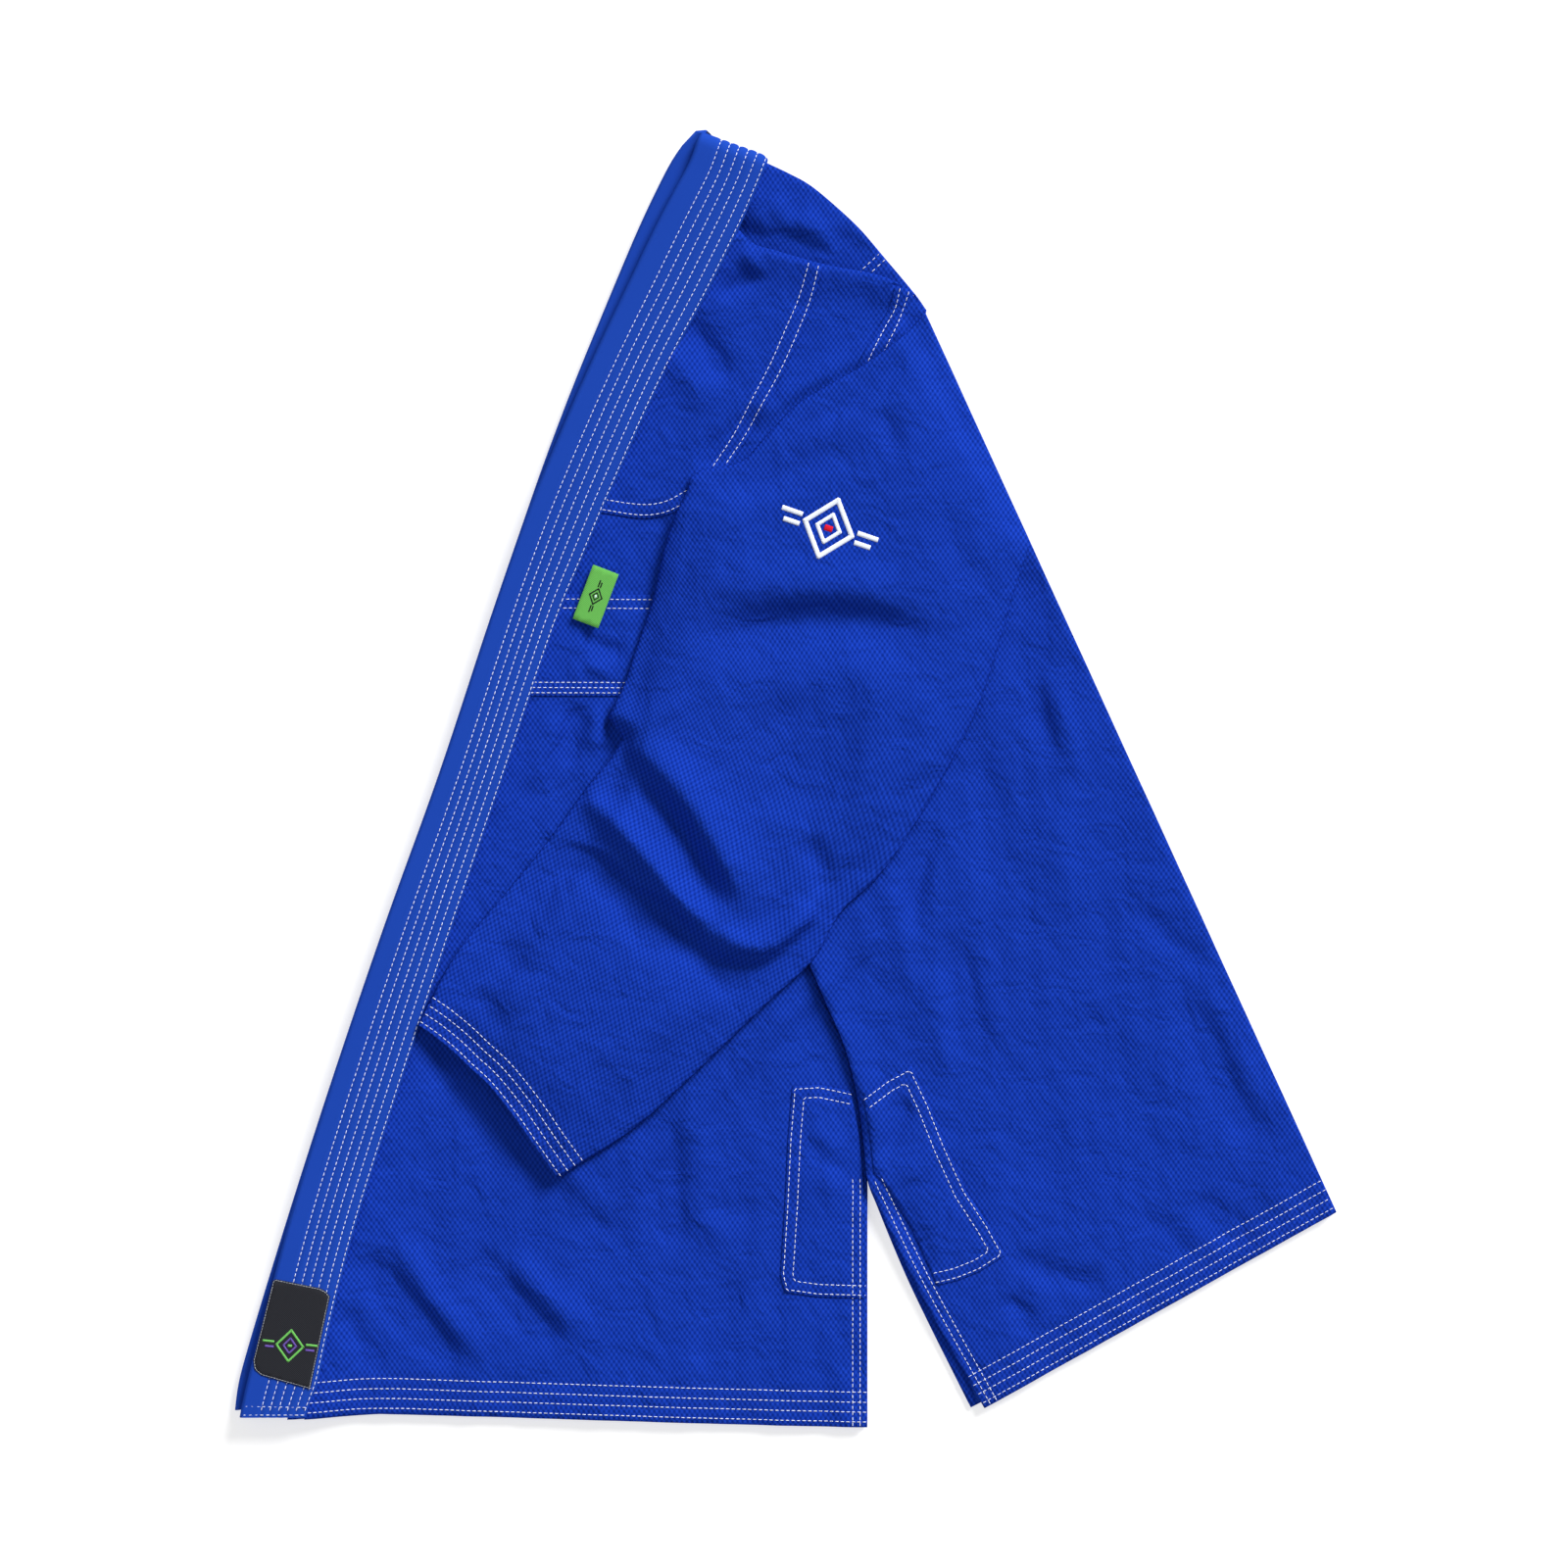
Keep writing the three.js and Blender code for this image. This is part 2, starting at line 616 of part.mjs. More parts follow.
function addLabels() {
  addSlab("lapel_label", lapelLabelOutline(), labelLevel, TRIM, LABEL_BLACK);

  const edge = acrossCollar(0, COLLAR_WIDTH + SEAM_GAP);
  const tabTop = pointBelow(edge, JACKET_LENGTH - TAB_DROP);
  const tabFoot = pointBelow(edge, JACKET_LENGTH - TAB_DROP - TAB_LENGTH);
  const along = tabFoot.clone().sub(tabTop).normalize();
  const away = point(-along.y, along.x).multiplyScalar(TAB_REACH);
  addSlab(
    "tab_label",
    [tabTop, tabFoot, tabFoot.clone().add(away), tabTop.clone().add(away)],
    labelLevel,
    TRIM,
    TAB_GREEN,
  );

  const middle = point(EMBLEM_PLACE[0], shoulder.y - EMBLEM_PLACE[1]);
  const oval = new THREE.EllipseCurve(middle.x, middle.y, EMBLEM_SIZE[0], EMBLEM_SIZE[1]).getPoints(20);
  addSlab("sleeve_emblem", oval.slice(0, -1), emblemLevel, TRIM, THREAD_WHITE);
}

addBody("left");
addBody("right");
addCollar();
addSleeves();
addLabels();

// Stand the middle of the box on the origin.
const box = new THREE.Box3().setFromObject(jacket);
const centre = box.getCenter(new THREE.Vector3());
jacket.children.forEach((mesh) => mesh.position.set(-centre.x, -centre.y, -box.min.z));

export default jacket;
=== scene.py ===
"""Looks of a folded grappling jacket: pearl-weave cloth, a stitched collar and two labels.

Every piece of cloth takes its cut from the CAD node that it stands for, and its height from the
pile of layers that it lies in. Lengths inside this file are in millimetres, in the CAD frame.
"""

import logging
import math
from collections.abc import Callable
from dataclasses import dataclass, field
from enum import Enum

import bmesh
import bpy
import numpy as np
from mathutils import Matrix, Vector, noise
from mathutils.geometry import delaunay_2d_cdt


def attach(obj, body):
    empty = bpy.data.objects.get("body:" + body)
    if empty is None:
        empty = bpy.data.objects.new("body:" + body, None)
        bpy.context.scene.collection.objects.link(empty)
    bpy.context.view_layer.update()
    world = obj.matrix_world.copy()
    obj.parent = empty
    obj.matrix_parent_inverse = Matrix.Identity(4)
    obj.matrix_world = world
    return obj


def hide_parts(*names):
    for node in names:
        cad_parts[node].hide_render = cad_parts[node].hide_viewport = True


log = logging.getLogger("jacket")

METRE = 0.001
CHUNK = 4000  # points worked on at once
SAME_PLACE = 2e4  # CAD corners are one where they agree to 1 / 20000 m
HEM_ZONE = -395.0  # the hem of the front lies below this
FINE = 3.6  # mesh spacing of cloth that is seen
COARSE = 6.0  # mesh spacing of cloth that lies hidden
HAIR = 0.05  # gap between two cloths that touch
DENT = 0.42  # how deep a row of stitches pulls the cloth in
THREAD_RISE = 0.22  # how high a thread's middle lies over its dent
ROW_SHARE = 0.866  # height of a row of even triangles, as a share of their side
Line = tuple[tuple[float, float], ...]
Height = Callable[[np.ndarray], np.ndarray]


class Side(Enum):
    """The two halves of the folded jacket."""

    LEFT = "left"
    RIGHT = "right"


class Pattern(Enum):
    """How a cloth is woven."""

    PEARL = "pearl"
    TWILL = "twill"
    PLAIN = "plain"


class Layer(Enum):
    """Where a trim lies on its panel."""

    OUTER = "outer"
    INNER = "inner"


# ---- plane geometry ----
def nearest(points: np.ndarray, line: np.ndarray) -> tuple[np.ndarray, np.ndarray, np.ndarray]:
    """Finds how each point lies to a line.

    Args:
        points: The points, as (n, 2).
        line: The line's corners, as (m, 2).

    Returns:
        Distance, side (1 on the left of the line's direction, -1 on its right) and share along it.
    """
    a, b = line[:-1], line[1:]
    run = b - a
    length = np.maximum(np.hypot(run[:, 0], run[:, 1]), 1e-9)
    before = np.concatenate([[0.0], np.cumsum(length)])
    distance = np.empty(len(points))
    side = np.empty(len(points))
    share = np.empty(len(points))
    for start in range(0, len(points), CHUNK):
        p = points[start : start + CHUNK]
        to = p[:, None, :] - a[None]
        t = np.clip((to * run[None]).sum(2) / (length**2)[None], 0, 1)
        off = to - t[..., None] * run[None]
        d2 = (off**2).sum(2)
        best = d2.argmin(1)
        row = np.arange(len(p))
        turn = run[best, 0] * to[row, best, 1] - run[best, 1] * to[row, best, 0]
        end = start + len(p)
        distance[start:end] = np.sqrt(d2[row, best])
        side[start:end] = np.where(turn >= 0, 1.0, -1.0)
        share[start:end] = (before[best] + t[row, best] * length[best]) / before[-1]
    return distance, side, share


def smoothstep(x: np.ndarray) -> np.ndarray:
    """A soft step from 0 to 1."""
    t = np.clip(x, 0, 1)
    return t * t * (3 - 2 * t)


def resampled(line: np.ndarray, spacing: float) -> np.ndarray:
    """The line with points at even steps close to spacing."""
    steps = np.hypot(*np.diff(line, axis=0).T[:2])
    along = np.concatenate([[0.0], np.cumsum(steps)])
    count = max(2, int(round(along[-1] / spacing)) + 1)
    at = np.linspace(0, along[-1], count)
    return np.stack([np.interp(at, along, line[:, i]) for i in range(line.shape[1])], axis=1)


def offset(line: np.ndarray, distance: float) -> np.ndarray:
    """The line moved to the left of its own direction."""
    run = np.gradient(line, axis=0)
    run /= np.maximum(np.hypot(run[:, 0], run[:, 1]), 1e-9)[:, None]
    return line + distance * np.stack([-run[:, 1], run[:, 0]], axis=1)


def curved(corners: np.ndarray, steps: int = 6) -> np.ndarray:
    """A smooth curve through the corners of an open line."""
    p = np.vstack([2 * corners[0] - corners[1], corners, 2 * corners[-1] - corners[-2]])
    out = []
    for i in range(1, len(p) - 2):
        for t in np.linspace(0, 1, steps, endpoint=False):
            square = (2 * p[i - 1] - 5 * p[i] + 4 * p[i + 1] - p[i + 2]) * t**2
            cube = (3 * p[i] - p[i - 1] - 3 * p[i + 1] + p[i + 2]) * t**3
            out.append(0.5 * (2 * p[i] + (p[i + 1] - p[i - 1]) * t + square + cube))
    out.append(corners[-1])
    return np.array(out)


def line_of(points: Line) -> np.ndarray:
    """A named line as a smooth curve."""
    corners = np.array(points, float)
    return curved(corners) if len(corners) > 2 else corners


@dataclass(frozen=True)
class Outline:
    """The closed edge of a piece of cloth, anticlockwise."""

    points: np.ndarray

    @classmethod
    def of(cls, line: Line, soft: float | None = None) -> "Outline":
        """A named line as an outline, its corners under `soft` degrees made into curves."""
        made = cls(np.array(line, float))
        if soft is not None:
            made = made.smoothed(soft)
        return made if made.winding > 0 else cls(made.points[::-1])

    @classmethod
    def of_faces(cls, node: str, up: float, near_z: float | None = None) -> "Outline":
        """Reads the edge of a CAD node's flat face.

        Args:
            node: The CAD node.
            up: 1 for the faces that look up, -1 for those that look down.
            near_z: If given, only faces within 1.5 mm of this height.

        Returns:
            The longest edge loop of those faces.
        """
        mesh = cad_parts[node].data
        keys: dict[tuple[int, int], int] = {}
        places: list[tuple[float, float]] = []
        following: dict[int, int] = {}
        edges: set[tuple[int, int]] = set()
        ids = []
        for v in mesh.vertices:
            key = (round(v.co.x * SAME_PLACE), round(v.co.y * SAME_PLACE))
            if key not in keys:
                keys[key] = len(places)
                places.append((v.co.x / METRE, v.co.y / METRE))
            ids.append(keys[key])
        for face in mesh.polygons:
            if face.normal.z * up < 0.9:
                continue
            if near_z is not None and abs(face.center.z / METRE - near_z) > 1.5:
                continue
            loop = [ids[i] for i in face.vertices]
            for a, b in zip(loop, loop[1:] + loop[:1]):
                if a != b:
                    edges.add((a, b))
        for a, b in edges:
            if (b, a) not in edges:
                following[a] = b
        loops = []
        while following:
            start, now = following.popitem()
            loop = [start]
            while now != start and now in following:
                loop.append(now)
                now = following.pop(now)
            loops.append(loop)
        points = np.array([places[i] for i in max(loops, key=len)])
        return cls(points if up > 0 else points[::-1])

    @property
    def winding(self) -> float:
        """Area inside, in square millimetres, negative where the edge runs clockwise."""
        x, y = self.points.T
        return 0.5 * float(np.dot(x, np.roll(y, -1)) - np.dot(y, np.roll(x, -1)))

    @property
    def area(self) -> float:
        """Area inside, in square millimetres."""
        return abs(self.winding)

    def closed(self) -> np.ndarray:
        """The points with the first one again at the end."""
        return np.vstack([self.points, self.points[:1]])

    def contains(self, points: np.ndarray) -> np.ndarray:
        """Which points lie inside."""
        a, b = self.points, np.roll(self.points, -1, axis=0)
        result = np.zeros(len(points), bool)
        for start in range(0, len(points), CHUNK):
            part = slice(start, start + CHUNK)
            x, y = points[part, 0:1], points[part, 1:2]
            across = (a[None, :, 1] > y) != (b[None, :, 1] > y)
            rise = b[:, 1] - a[:, 1]
            rise = np.where(np.abs(rise) < 1e-12, 1e-12, rise)
            meet = a[None, :, 0] + (y - a[None, :, 1]) * ((b[:, 0] - a[:, 0]) / rise)[None]
            result[part] = (across & (x < meet)).sum(1) % 2 == 1
        return result

    def depth(self, points: np.ndarray) -> np.ndarray:
        """How far inside each point lies, negative outside."""
        distance = nearest(points, self.closed())[0]
        return np.where(self.contains(points), distance, -distance)

    def smoothed(self, sharp: float = 26.0) -> "Outline":
        """The same edge with every corner under `sharp` degrees made into a curve."""
        p = self.points
        before, after = p - np.roll(p, 1, axis=0), np.roll(p, -1, axis=0) - p
        rise = before[:, 0] * after[:, 1] - before[:, 1] * after[:, 0]
        turn = np.degrees(np.abs(np.arctan2(rise, (before * after).sum(1))))
        hard = np.flatnonzero(turn > sharp)
        if len(hard) < 1:
            return self
        pieces = []
        for i, first in enumerate(hard):
            last = hard[(i + 1) % len(hard)]
            count = (last - first) % len(p) or len(p)
            stretch = p[(first + np.arange(count + 1)) % len(p)]
            pieces.append(curved(stretch)[:-1] if len(stretch) > 2 else stretch[:-1])
        return Outline(np.vstack(pieces))

    def stretch(self, start: tuple[float, float], end: tuple[float, float]) -> np.ndarray:
        """The part of the edge between the corners nearest to two points, anticlockwise."""
        p = self.points
        first, last = (int(np.hypot(*(p - place).T).argmin()) for place in (start, end))
        return p[(first + np.arange((last - first) % len(p) + 1)) % len(p)]

    def rerouted(self, line: np.ndarray) -> "Outline":
        """The edge with its part between the line's two ends, anticlockwise, following the line."""
        return Outline(np.vstack([self.stretch(line[-1], line[0]), line]))

    def lifted(self, rise: Line) -> "Outline":
        """The edge with its hem raised by the amounts given along it, in steps of (x, rise)."""
        fine = []
        for a, b in zip(self.points, np.roll(self.points, -1, axis=0)):
            count = max(1, int(np.hypot(*(b - a)) // 24)) if min(a[1], b[1]) < HEM_ZONE else 1
            fine += [a + (b - a) * i / count for i in range(count)]
        points = np.array(fine)
        across, amount = np.array(rise, float).T
        points[:, 1] += np.interp(points[:, 0], across, amount) * smoothstep((HEM_ZONE - points[:, 1]) / 16)
        return Outline(points)

    def lowered(self, corner: tuple[float, float]) -> "Outline":
        """The edge with the part up and left of a corner brought down level with it."""
        points = self.points.copy()
        high = (points[:, 0] < corner[0]) & (points[:, 1] > corner[1])
        points[high, 1] = corner[1]
        return Outline(points)

    def sized(self) -> tuple[float, float]:
        """Width and length of the cut in metres: of a strip along its run, or of the box round it."""
        around = float(np.hypot(*np.diff(self.closed(), axis=0).T).sum())
        under = around**2 / 4 - 4 * self.area
        if under > 0 and around**2 / self.area > 24:
            length = (around / 2 + math.sqrt(under)) / 2
            return self.area / length * METRE, length * METRE
        best = None
        for degrees in range(0, 90, 2):
            a = math.radians(degrees)
            turned = self.points @ np.array([[math.cos(a), -math.sin(a)], [math.sin(a), math.cos(a)]])
            w, h = np.ptp(turned, axis=0)
            if best is None or w * h < best[0]:
                best = (w * h, min(w, h), max(w, h))
        return best[1] * METRE, best[2] * METRE


# ---- finishes ----
def colour(red: float, green: float, blue: float) -> tuple[float, float, float, float]:
    """A screen colour, 0 to 255, as the linear one that a shader takes."""
    parts = [c / 255 for c in (red, green, blue)]
    flat = [c / 12.92 if c <= 0.04045 else ((c + 0.055) / 1.055) ** 2.4 for c in parts]
    return flat[0], flat[1], flat[2], 1.0


def add_node(tree: bpy.types.NodeTree, kind: str, **inputs) -> bpy.types.Node:
    """Adds a node and sets some inputs, named by label with _ for each space."""
    made = tree.nodes.new(kind)
    return set_inputs(made, **inputs)


def set_inputs(node: bpy.types.Node, **inputs) -> bpy.types.Node:
    """Sets a node's inputs, named by label with _ for each space."""
    for label, value in inputs.items():
        node.inputs[label.replace("_", " ")].default_value = value
    return node


def principled(made: bpy.types.Material) -> bpy.types.Node:
    """The main shader of a new material."""
    made.use_nodes = True
    return next(n for n in made.node_tree.nodes if n.type == "BSDF_PRINCIPLED")


@dataclass(frozen=True)
class Finish:
    """A cloth, thread or core, with its weave."""

    name: str
    slot: str
    # low and high: for a woven pattern, the hollows and the raised threads of the weave, the cloth's own
    # colour darkened by painted shade and lightened by a painted highlight; for a plain finish, the ends of
    # a random tone
    low: tuple[float, float, float]
    high: tuple[float, float, float]
    pattern: Pattern = Pattern.PLAIN
    pitch: tuple[float, float] = (1.7, 2.4)
    relief: float = 0.35
    roughness: float = 0.85
    sheen: float = 0.0
    shine: float = 0.0
    mottle: float = 0.06
    crumple: float = 0.0

    def material(self) -> bpy.types.Material:
        """The finish as a Blender material, made once."""
        found = bpy.data.materials.get("look_" + self.name)
        if found:
            return found
        made = bpy.data.materials.new("look_" + self.name)
        shader = set_inputs(
            principled(made),
            Roughness=self.roughness,
            Specular_IOR_Level=self.shine,
            IOR=1.5 if self.shine else 1.0,
            Sheen_Weight=self.sheen,
            Sheen_Roughness=0.5,
        )
        tree = made.node_tree
        link = tree.links.new
        weave = self._weave(tree)
        # For a woven pattern the ramp paints the raised threads lighter and the hollows darker, following
        # the bump: painted highlight and painted shade over the cloth's own colour. For a plain finish it
        # spreads a random tone.
        ramp = tree.nodes.new("ShaderNodeValToRGB")
        for end, shade in zip(ramp.color_ramp.elements, (self.low, self.high)):
            end.color = colour(*shade)
        patches = add_node(tree, "ShaderNodeTexNoise", Scale=9.0, Detail=5.0)
        spread = add_node(tree, "ShaderNodeMapRange", To_Min=1 - self.mottle, To_Max=1 + self.mottle)
        tint = tree.nodes.new("ShaderNodeHueSaturation")
        where = tree.nodes.new("ShaderNodeTexCoord").outputs["Object"]
        link(weave, ramp.inputs[0])
        link(where, patches.inputs["Vector"])
        link(patches.outputs["Fac"], spread.inputs["Value"])
        link(spread.outputs[0], tint.inputs["Value"])
        link(ramp.outputs[0], tint.inputs["Color"])
        link(tint.outputs[0], shader.inputs["Base Color"])
        if self.relief > 0:
            bump = add_node(tree, "ShaderNodeBump", Strength=1.0, Distance=self.relief * METRE)
            link(weave, bump.inputs["Height"])
            link(bump.outputs[0], shader.inputs["Normal"])
            if self.crumple > 0:
                creases = add_node(tree, "ShaderNodeTexNoise", Scale=55.0, Detail=3.0, Distortion=0.6)
                soft = add_node(tree, "ShaderNodeBump", Strength=1.0, Distance=self.crumple * METRE)
                link(where, creases.inputs["Vector"])
                link(creases.outputs["Fac"], soft.inputs["Height"])
                link(soft.outputs[0], bump.inputs["Normal"])
        return made

    def _weave(self, tree: bpy.types.NodeTree) -> bpy.types.NodeSocket:
        """The weave's height, 0 to 1, from the cloth's own grain."""
        if self.pattern is Pattern.PLAIN:
            fine = add_node(tree, "ShaderNodeTexNoise", Scale=900.0)
            where = tree.nodes.new("ShaderNodeTexCoord")
            tree.links.new(where.outputs["Object"], fine.inputs["Vector"])
            return fine.outputs["Fac"]
        grain = tree.nodes.new("ShaderNodeUVMap")
        grain.uv_map = "grain"
        split = tree.nodes.new("ShaderNodeSeparateXYZ")
        tree.links.new(grain.outputs[0], split.inputs[0])
        wave = [
            self._math(tree, "MULTIPLY", split.outputs[axis], math.pi / (pitch * METRE))
            for axis, pitch in zip(("X", "Y"), self.pitch)
        ]
        if self.pattern is Pattern.TWILL:
            ribs = self._math(tree, "SINE", self._math(tree, "ADD", *wave))
        else:
            ribs = self._math(tree, "MULTIPLY", *(self._math(tree, "COSINE", w) for w in wave))
        half = self._math(tree, "MULTIPLY", ribs, 0.5)
        return self._math(tree, "ADD", half, 0.5)

    @staticmethod
    def _math(tree: bpy.types.NodeTree, operation: str, *values) -> bpy.types.NodeSocket:
        """One step of arithmetic on sockets and numbers."""
        node = tree.nodes.new("ShaderNodeMath")
        node.operation = operation
        for value, socket in zip(values, node.inputs):
            if isinstance(value, (int, float)):
                socket.default_value = value
            else:
                tree.links.new(value, socket)
        return node.outputs[0]


def thread(name: str, low: tuple, high: tuple, roughness: float = 0.6, mottle: float = 0.06) -> Finish:
    """A smooth thread."""
    return Finish(name, "thread", low, high, relief=0.0, roughness=roughness, mottle=mottle)


def woven(name: str, low: tuple, high: tuple, *weave) -> Finish:
    """A woven finish that fills a slot of its own name."""
    return Finish(name, name, low, high, *weave)


# The pearl weave's own blue, its raised dots painted lighter and its hollows darker: painted highlight and
# painted shade.
PEARL = Finish(
    "pearl_weave", "pearl_weave", (12, 38, 128), (27, 65, 184), Pattern.PEARL, relief=0.3, crumple=3.0
)
TWILL = woven("collar_twill", (26, 62, 160), (33, 72, 174), Pattern.TWILL, (0.9, 0.9), 0.05, 0.75)
FACING = woven("facing_twill", (24, 56, 156), (32, 68, 174), Pattern.TWILL, (1.0, 1.0), 0.05)
CORE = Finish("collar_core", "collar_core", (36, 38, 44), (52, 54, 60), relief=0.1)
BLACK = woven("black_label", (30, 31, 36), (52, 53, 58), Pattern.TWILL, (0.7, 0.7), 0.05, 0.5)
GREEN = woven("green_tab", (78, 148, 66), (118, 196, 96), Pattern.PEARL, (0.8, 0.6), 0.06, 0.6)
WHITE = thread("thread", (226, 234, 255), (240, 245, 255), roughness=0.9, mottle=0.0)
SILVER = thread("thread_silver", (150, 154, 166), (190, 194, 204))
RED = thread("thread_red", (205, 24, 44), (225, 40, 60), mottle=0.0)
VIOLET = thread("thread_violet", (92, 70, 150), (120, 96, 182))
LIME = thread("thread_green", (96, 176, 84), (124, 204, 104))
DARK = thread("thread_black", (22, 24, 28), (40, 42, 46))


# ---- the pile of layers ----
FOLD_DEPTH = 1.75


@dataclass(frozen=True)
class Fold:
    """A soft ridge or valley along a line."""

    line: Line
    rise: float
    left: float
    right: float
    start: float = 0.0
    end: float = 0.0

    def height(self, points: np.ndarray) -> np.ndarray:
        """Height that the fold adds at each point.

        Args:
            points: The points, as (n, 2).

        Returns:
            Millimetres, positive on a ridge.
        """
        distance, side, share = nearest(points, line_of(self.line))
        width = np.where(side > 0, self.left, self.right)
        fade = self.start + (1 - self.start) * smoothstep(share / 0.3)
        fade *= self.end + (1 - self.end) * smoothstep((1 - share) / 0.3)
        return FOLD_DEPTH * self.rise * fade * np.exp(-((distance / width) ** 2))


def ripple(points: np.ndarray, across: float, along: float, degrees: float, seed: float) -> np.ndarray:
    """Gentle unevenness of cloth, about -1 to 1.

    Args:
        points: The points, as (n, 2).
        across: Width of one wave.
        along: Length of one wave.
        degrees: Direction of the waves' length.
        seed: Picks one pattern of waves.

    Returns:
        One value for each point.
    """
    a = math.radians(degrees)
    u = (points[:, 0] * math.cos(a) + points[:, 1] * math.sin(a)) / along
    v = (-points[:, 0] * math.sin(a) + points[:, 1] * math.cos(a)) / across
    return np.array([noise.noise(Vector((float(x), float(y), seed))) for x, y in zip(u, v)])


SHOULDER: Line = ((-31, 365), (-21, 356), (-8, 352), (13, 346), (32, 341), (55, 337), (66, 334), (78, 329))
SIDE_SEAM: Line = ((14, -118), (22, -144), (34, -172), (45, -197), (53, -220), (56, -245), (56, -274))

FRONT_FOLDS = (
    Fold(SHOULDER, 2.6, 6, 14, 0.3, 1.0),
    Fold(((-14, 336), (-22, 344), (-30, 354)), 1.8, 5, 5),
    Fold(((-12, 338), (-34, 330), (-46, 318)), -2.6, 6, 8),
    Fold(((-66, 312), (-52, 288), (-36, 262)), -3.2, 7, 9),
    Fold(((-82, 290), (-62, 262), (-52, 240)), 2.0, 9, 9),
    Fold(((-61, 204), (-38, 226), (-12, 246)), -3.0, 7, 9),
    Fold(((-84, 184), (-86, 160), (-92, 130), (-96, 104)), -3.0, 9, 14),
    Fold(((-140, 96), (-118, 84), (-104, 82)), -1.8, 6, 6),
    Fold(((-136, 74), (-114, 70)), 1.4, 5, 5),
    Fold(((-139, 50), (-143, 26), (-146, 2)), -3.0, 5, 7),
    Fold(((-128, 50), (-127, 30), (-130, 12)), 2.2, 5, 5),
    Fold(((-119, 46), (-117, 28), (-121, 10)), -2.6, 5, 5),
    Fold(((-152, 46), (-160, 20), (-172, -14)), 1.6, 7, 8),
    Fold(((-252, -176), (-206, -212), (-168, -268)), -3.5, 10, 16),
    Fold(((-286, -312), (-268, -346), (-244, -370), (-214, -402)), -4.2, 8, 12),
    Fold(((-268, -300), (-248, -338), (-222, -372), (-196, -398)), 2.6, 9, 9),
    Fold(((-214, -316), (-186, -350), (-146, -390)), -3.4, 8, 12),
    Fold(((-190, -322), (-160, -352), (-128, -384)), 2.2, 9, 10),
    Fold(((-300, -352), (-286, -384), (-270, -408)), -2.4, 7, 8),
    Fold(((-80, -216), (-79, -262), (-73, -330)), -3.0, 9, 14),
    Fold(((-58, -212), (-56, -262), (-50, -330)), 1.6, 12, 12),
    Fold(((-112, -246), (-116, -300), (-124, -352)), -1.4, 16, 16),
    Fold(((-30, -330), (-44, -372), (-62, -404)), -1.6, 9, 12),
    Fold(((-12, -290), (-34, -296), (-62, -286)), -1.2, 8, 8),
    Fold(SIDE_SEAM, -3.0, 6, 20, 0.6, 0.5),
    Fold(((78, 301), (53, 283), (33, 272), (10, 259), (-4, 248), (-23, 227)), 2.6, 4, 9, 0.6, 0.5),
    Fold(((50, -268), (30, -262), (12, -244)), -1.6, 6, 6),
    Fold(((38, -230), (30, -262), (28, -300)), 1.2, 9, 9),
)

BACK_FOLDS = (
    Fold(SHOULDER, -4.6, 13, 7, 1.0, 1.0),
    Fold(((-34, 368), (-22, 360), (-14, 370)), -2.0, 5, 6),
    Fold(((-4, 366), (14, 352), (30, 346)), -2.6, 6, 6),
    Fold(((6, 382), (26, 362), (44, 352)), 1.8, 8, 7),
    Fold(((-8, 392), (2, 372), (18, 362)), 1.4, 6, 6),
    Fold(((30, 370), (44, 352), (58, 346)), -2.4, 6, 6),
    Fold(SIDE_SEAM, 2.4, 14, 4, 0.6, 0.5),
    Fold(((160, 150), (170, 110), (176, 60)), -1.8, 8, 12),
    Fold(((156, 104), (166, 64), (188, 0)), -2.0, 7, 10),
    Fold(((176, 70), (190, 30), (198, -10)), 1.5, 7, 9),
    Fold(((128, 30), (138, -30), (144, -84)), -1.6, 10, 14),
    Fold(((104, -30), (90, -60), (84, -112)), -2.6, 8, 14),
    Fold(((70, -66), (78, -100), (82, -150)), 1.6, 9, 10),
    Fold(((118, -96), (122, -140), (132, -206)), -2.2, 9, 16),
    Fold(((96, -120), (104, -170), (112, -214)), 1.4, 10, 12),
    Fold(((176, -6), (186, -54), (196, -112)), 1.2, 14, 16),
    Fold(((232, -84), (262, -112), (292, -138)), -1.6, 8, 10),
    Fold(((257, -118), (280, -172), (310, -232), (344, -258)), -2.2, 9, 14),
    Fold(((282, -130), (304, -184), (330, -236)), 1.2, 9, 9),
    Fold(((204, -150), (214, -196), (222, -242)), -1.0, 12, 16),
    Fold(((150, -322), (184, -338), (220, -344)), -2.2, 8, 9),
    Fold(((276, -282), (300, -304), (316, -304)), -2.6, 9, 10),
    Fold(((148, -350), (162, -366), (166, -380)), -1.8, 7, 7),
    Fold(((236, -290), (262, -312), (282, -330)), -1.2, 9, 9),
    Fold(((64, -262), (76, -238), (84, -214)), -1.8, 6, 6),
    Fold(((70, -272), (96, -262), (112, -240)), 1.2, 7, 7),
    Fold(((68, -284), (86, -312), (98, -342)), -2.2, 8, 5),
)

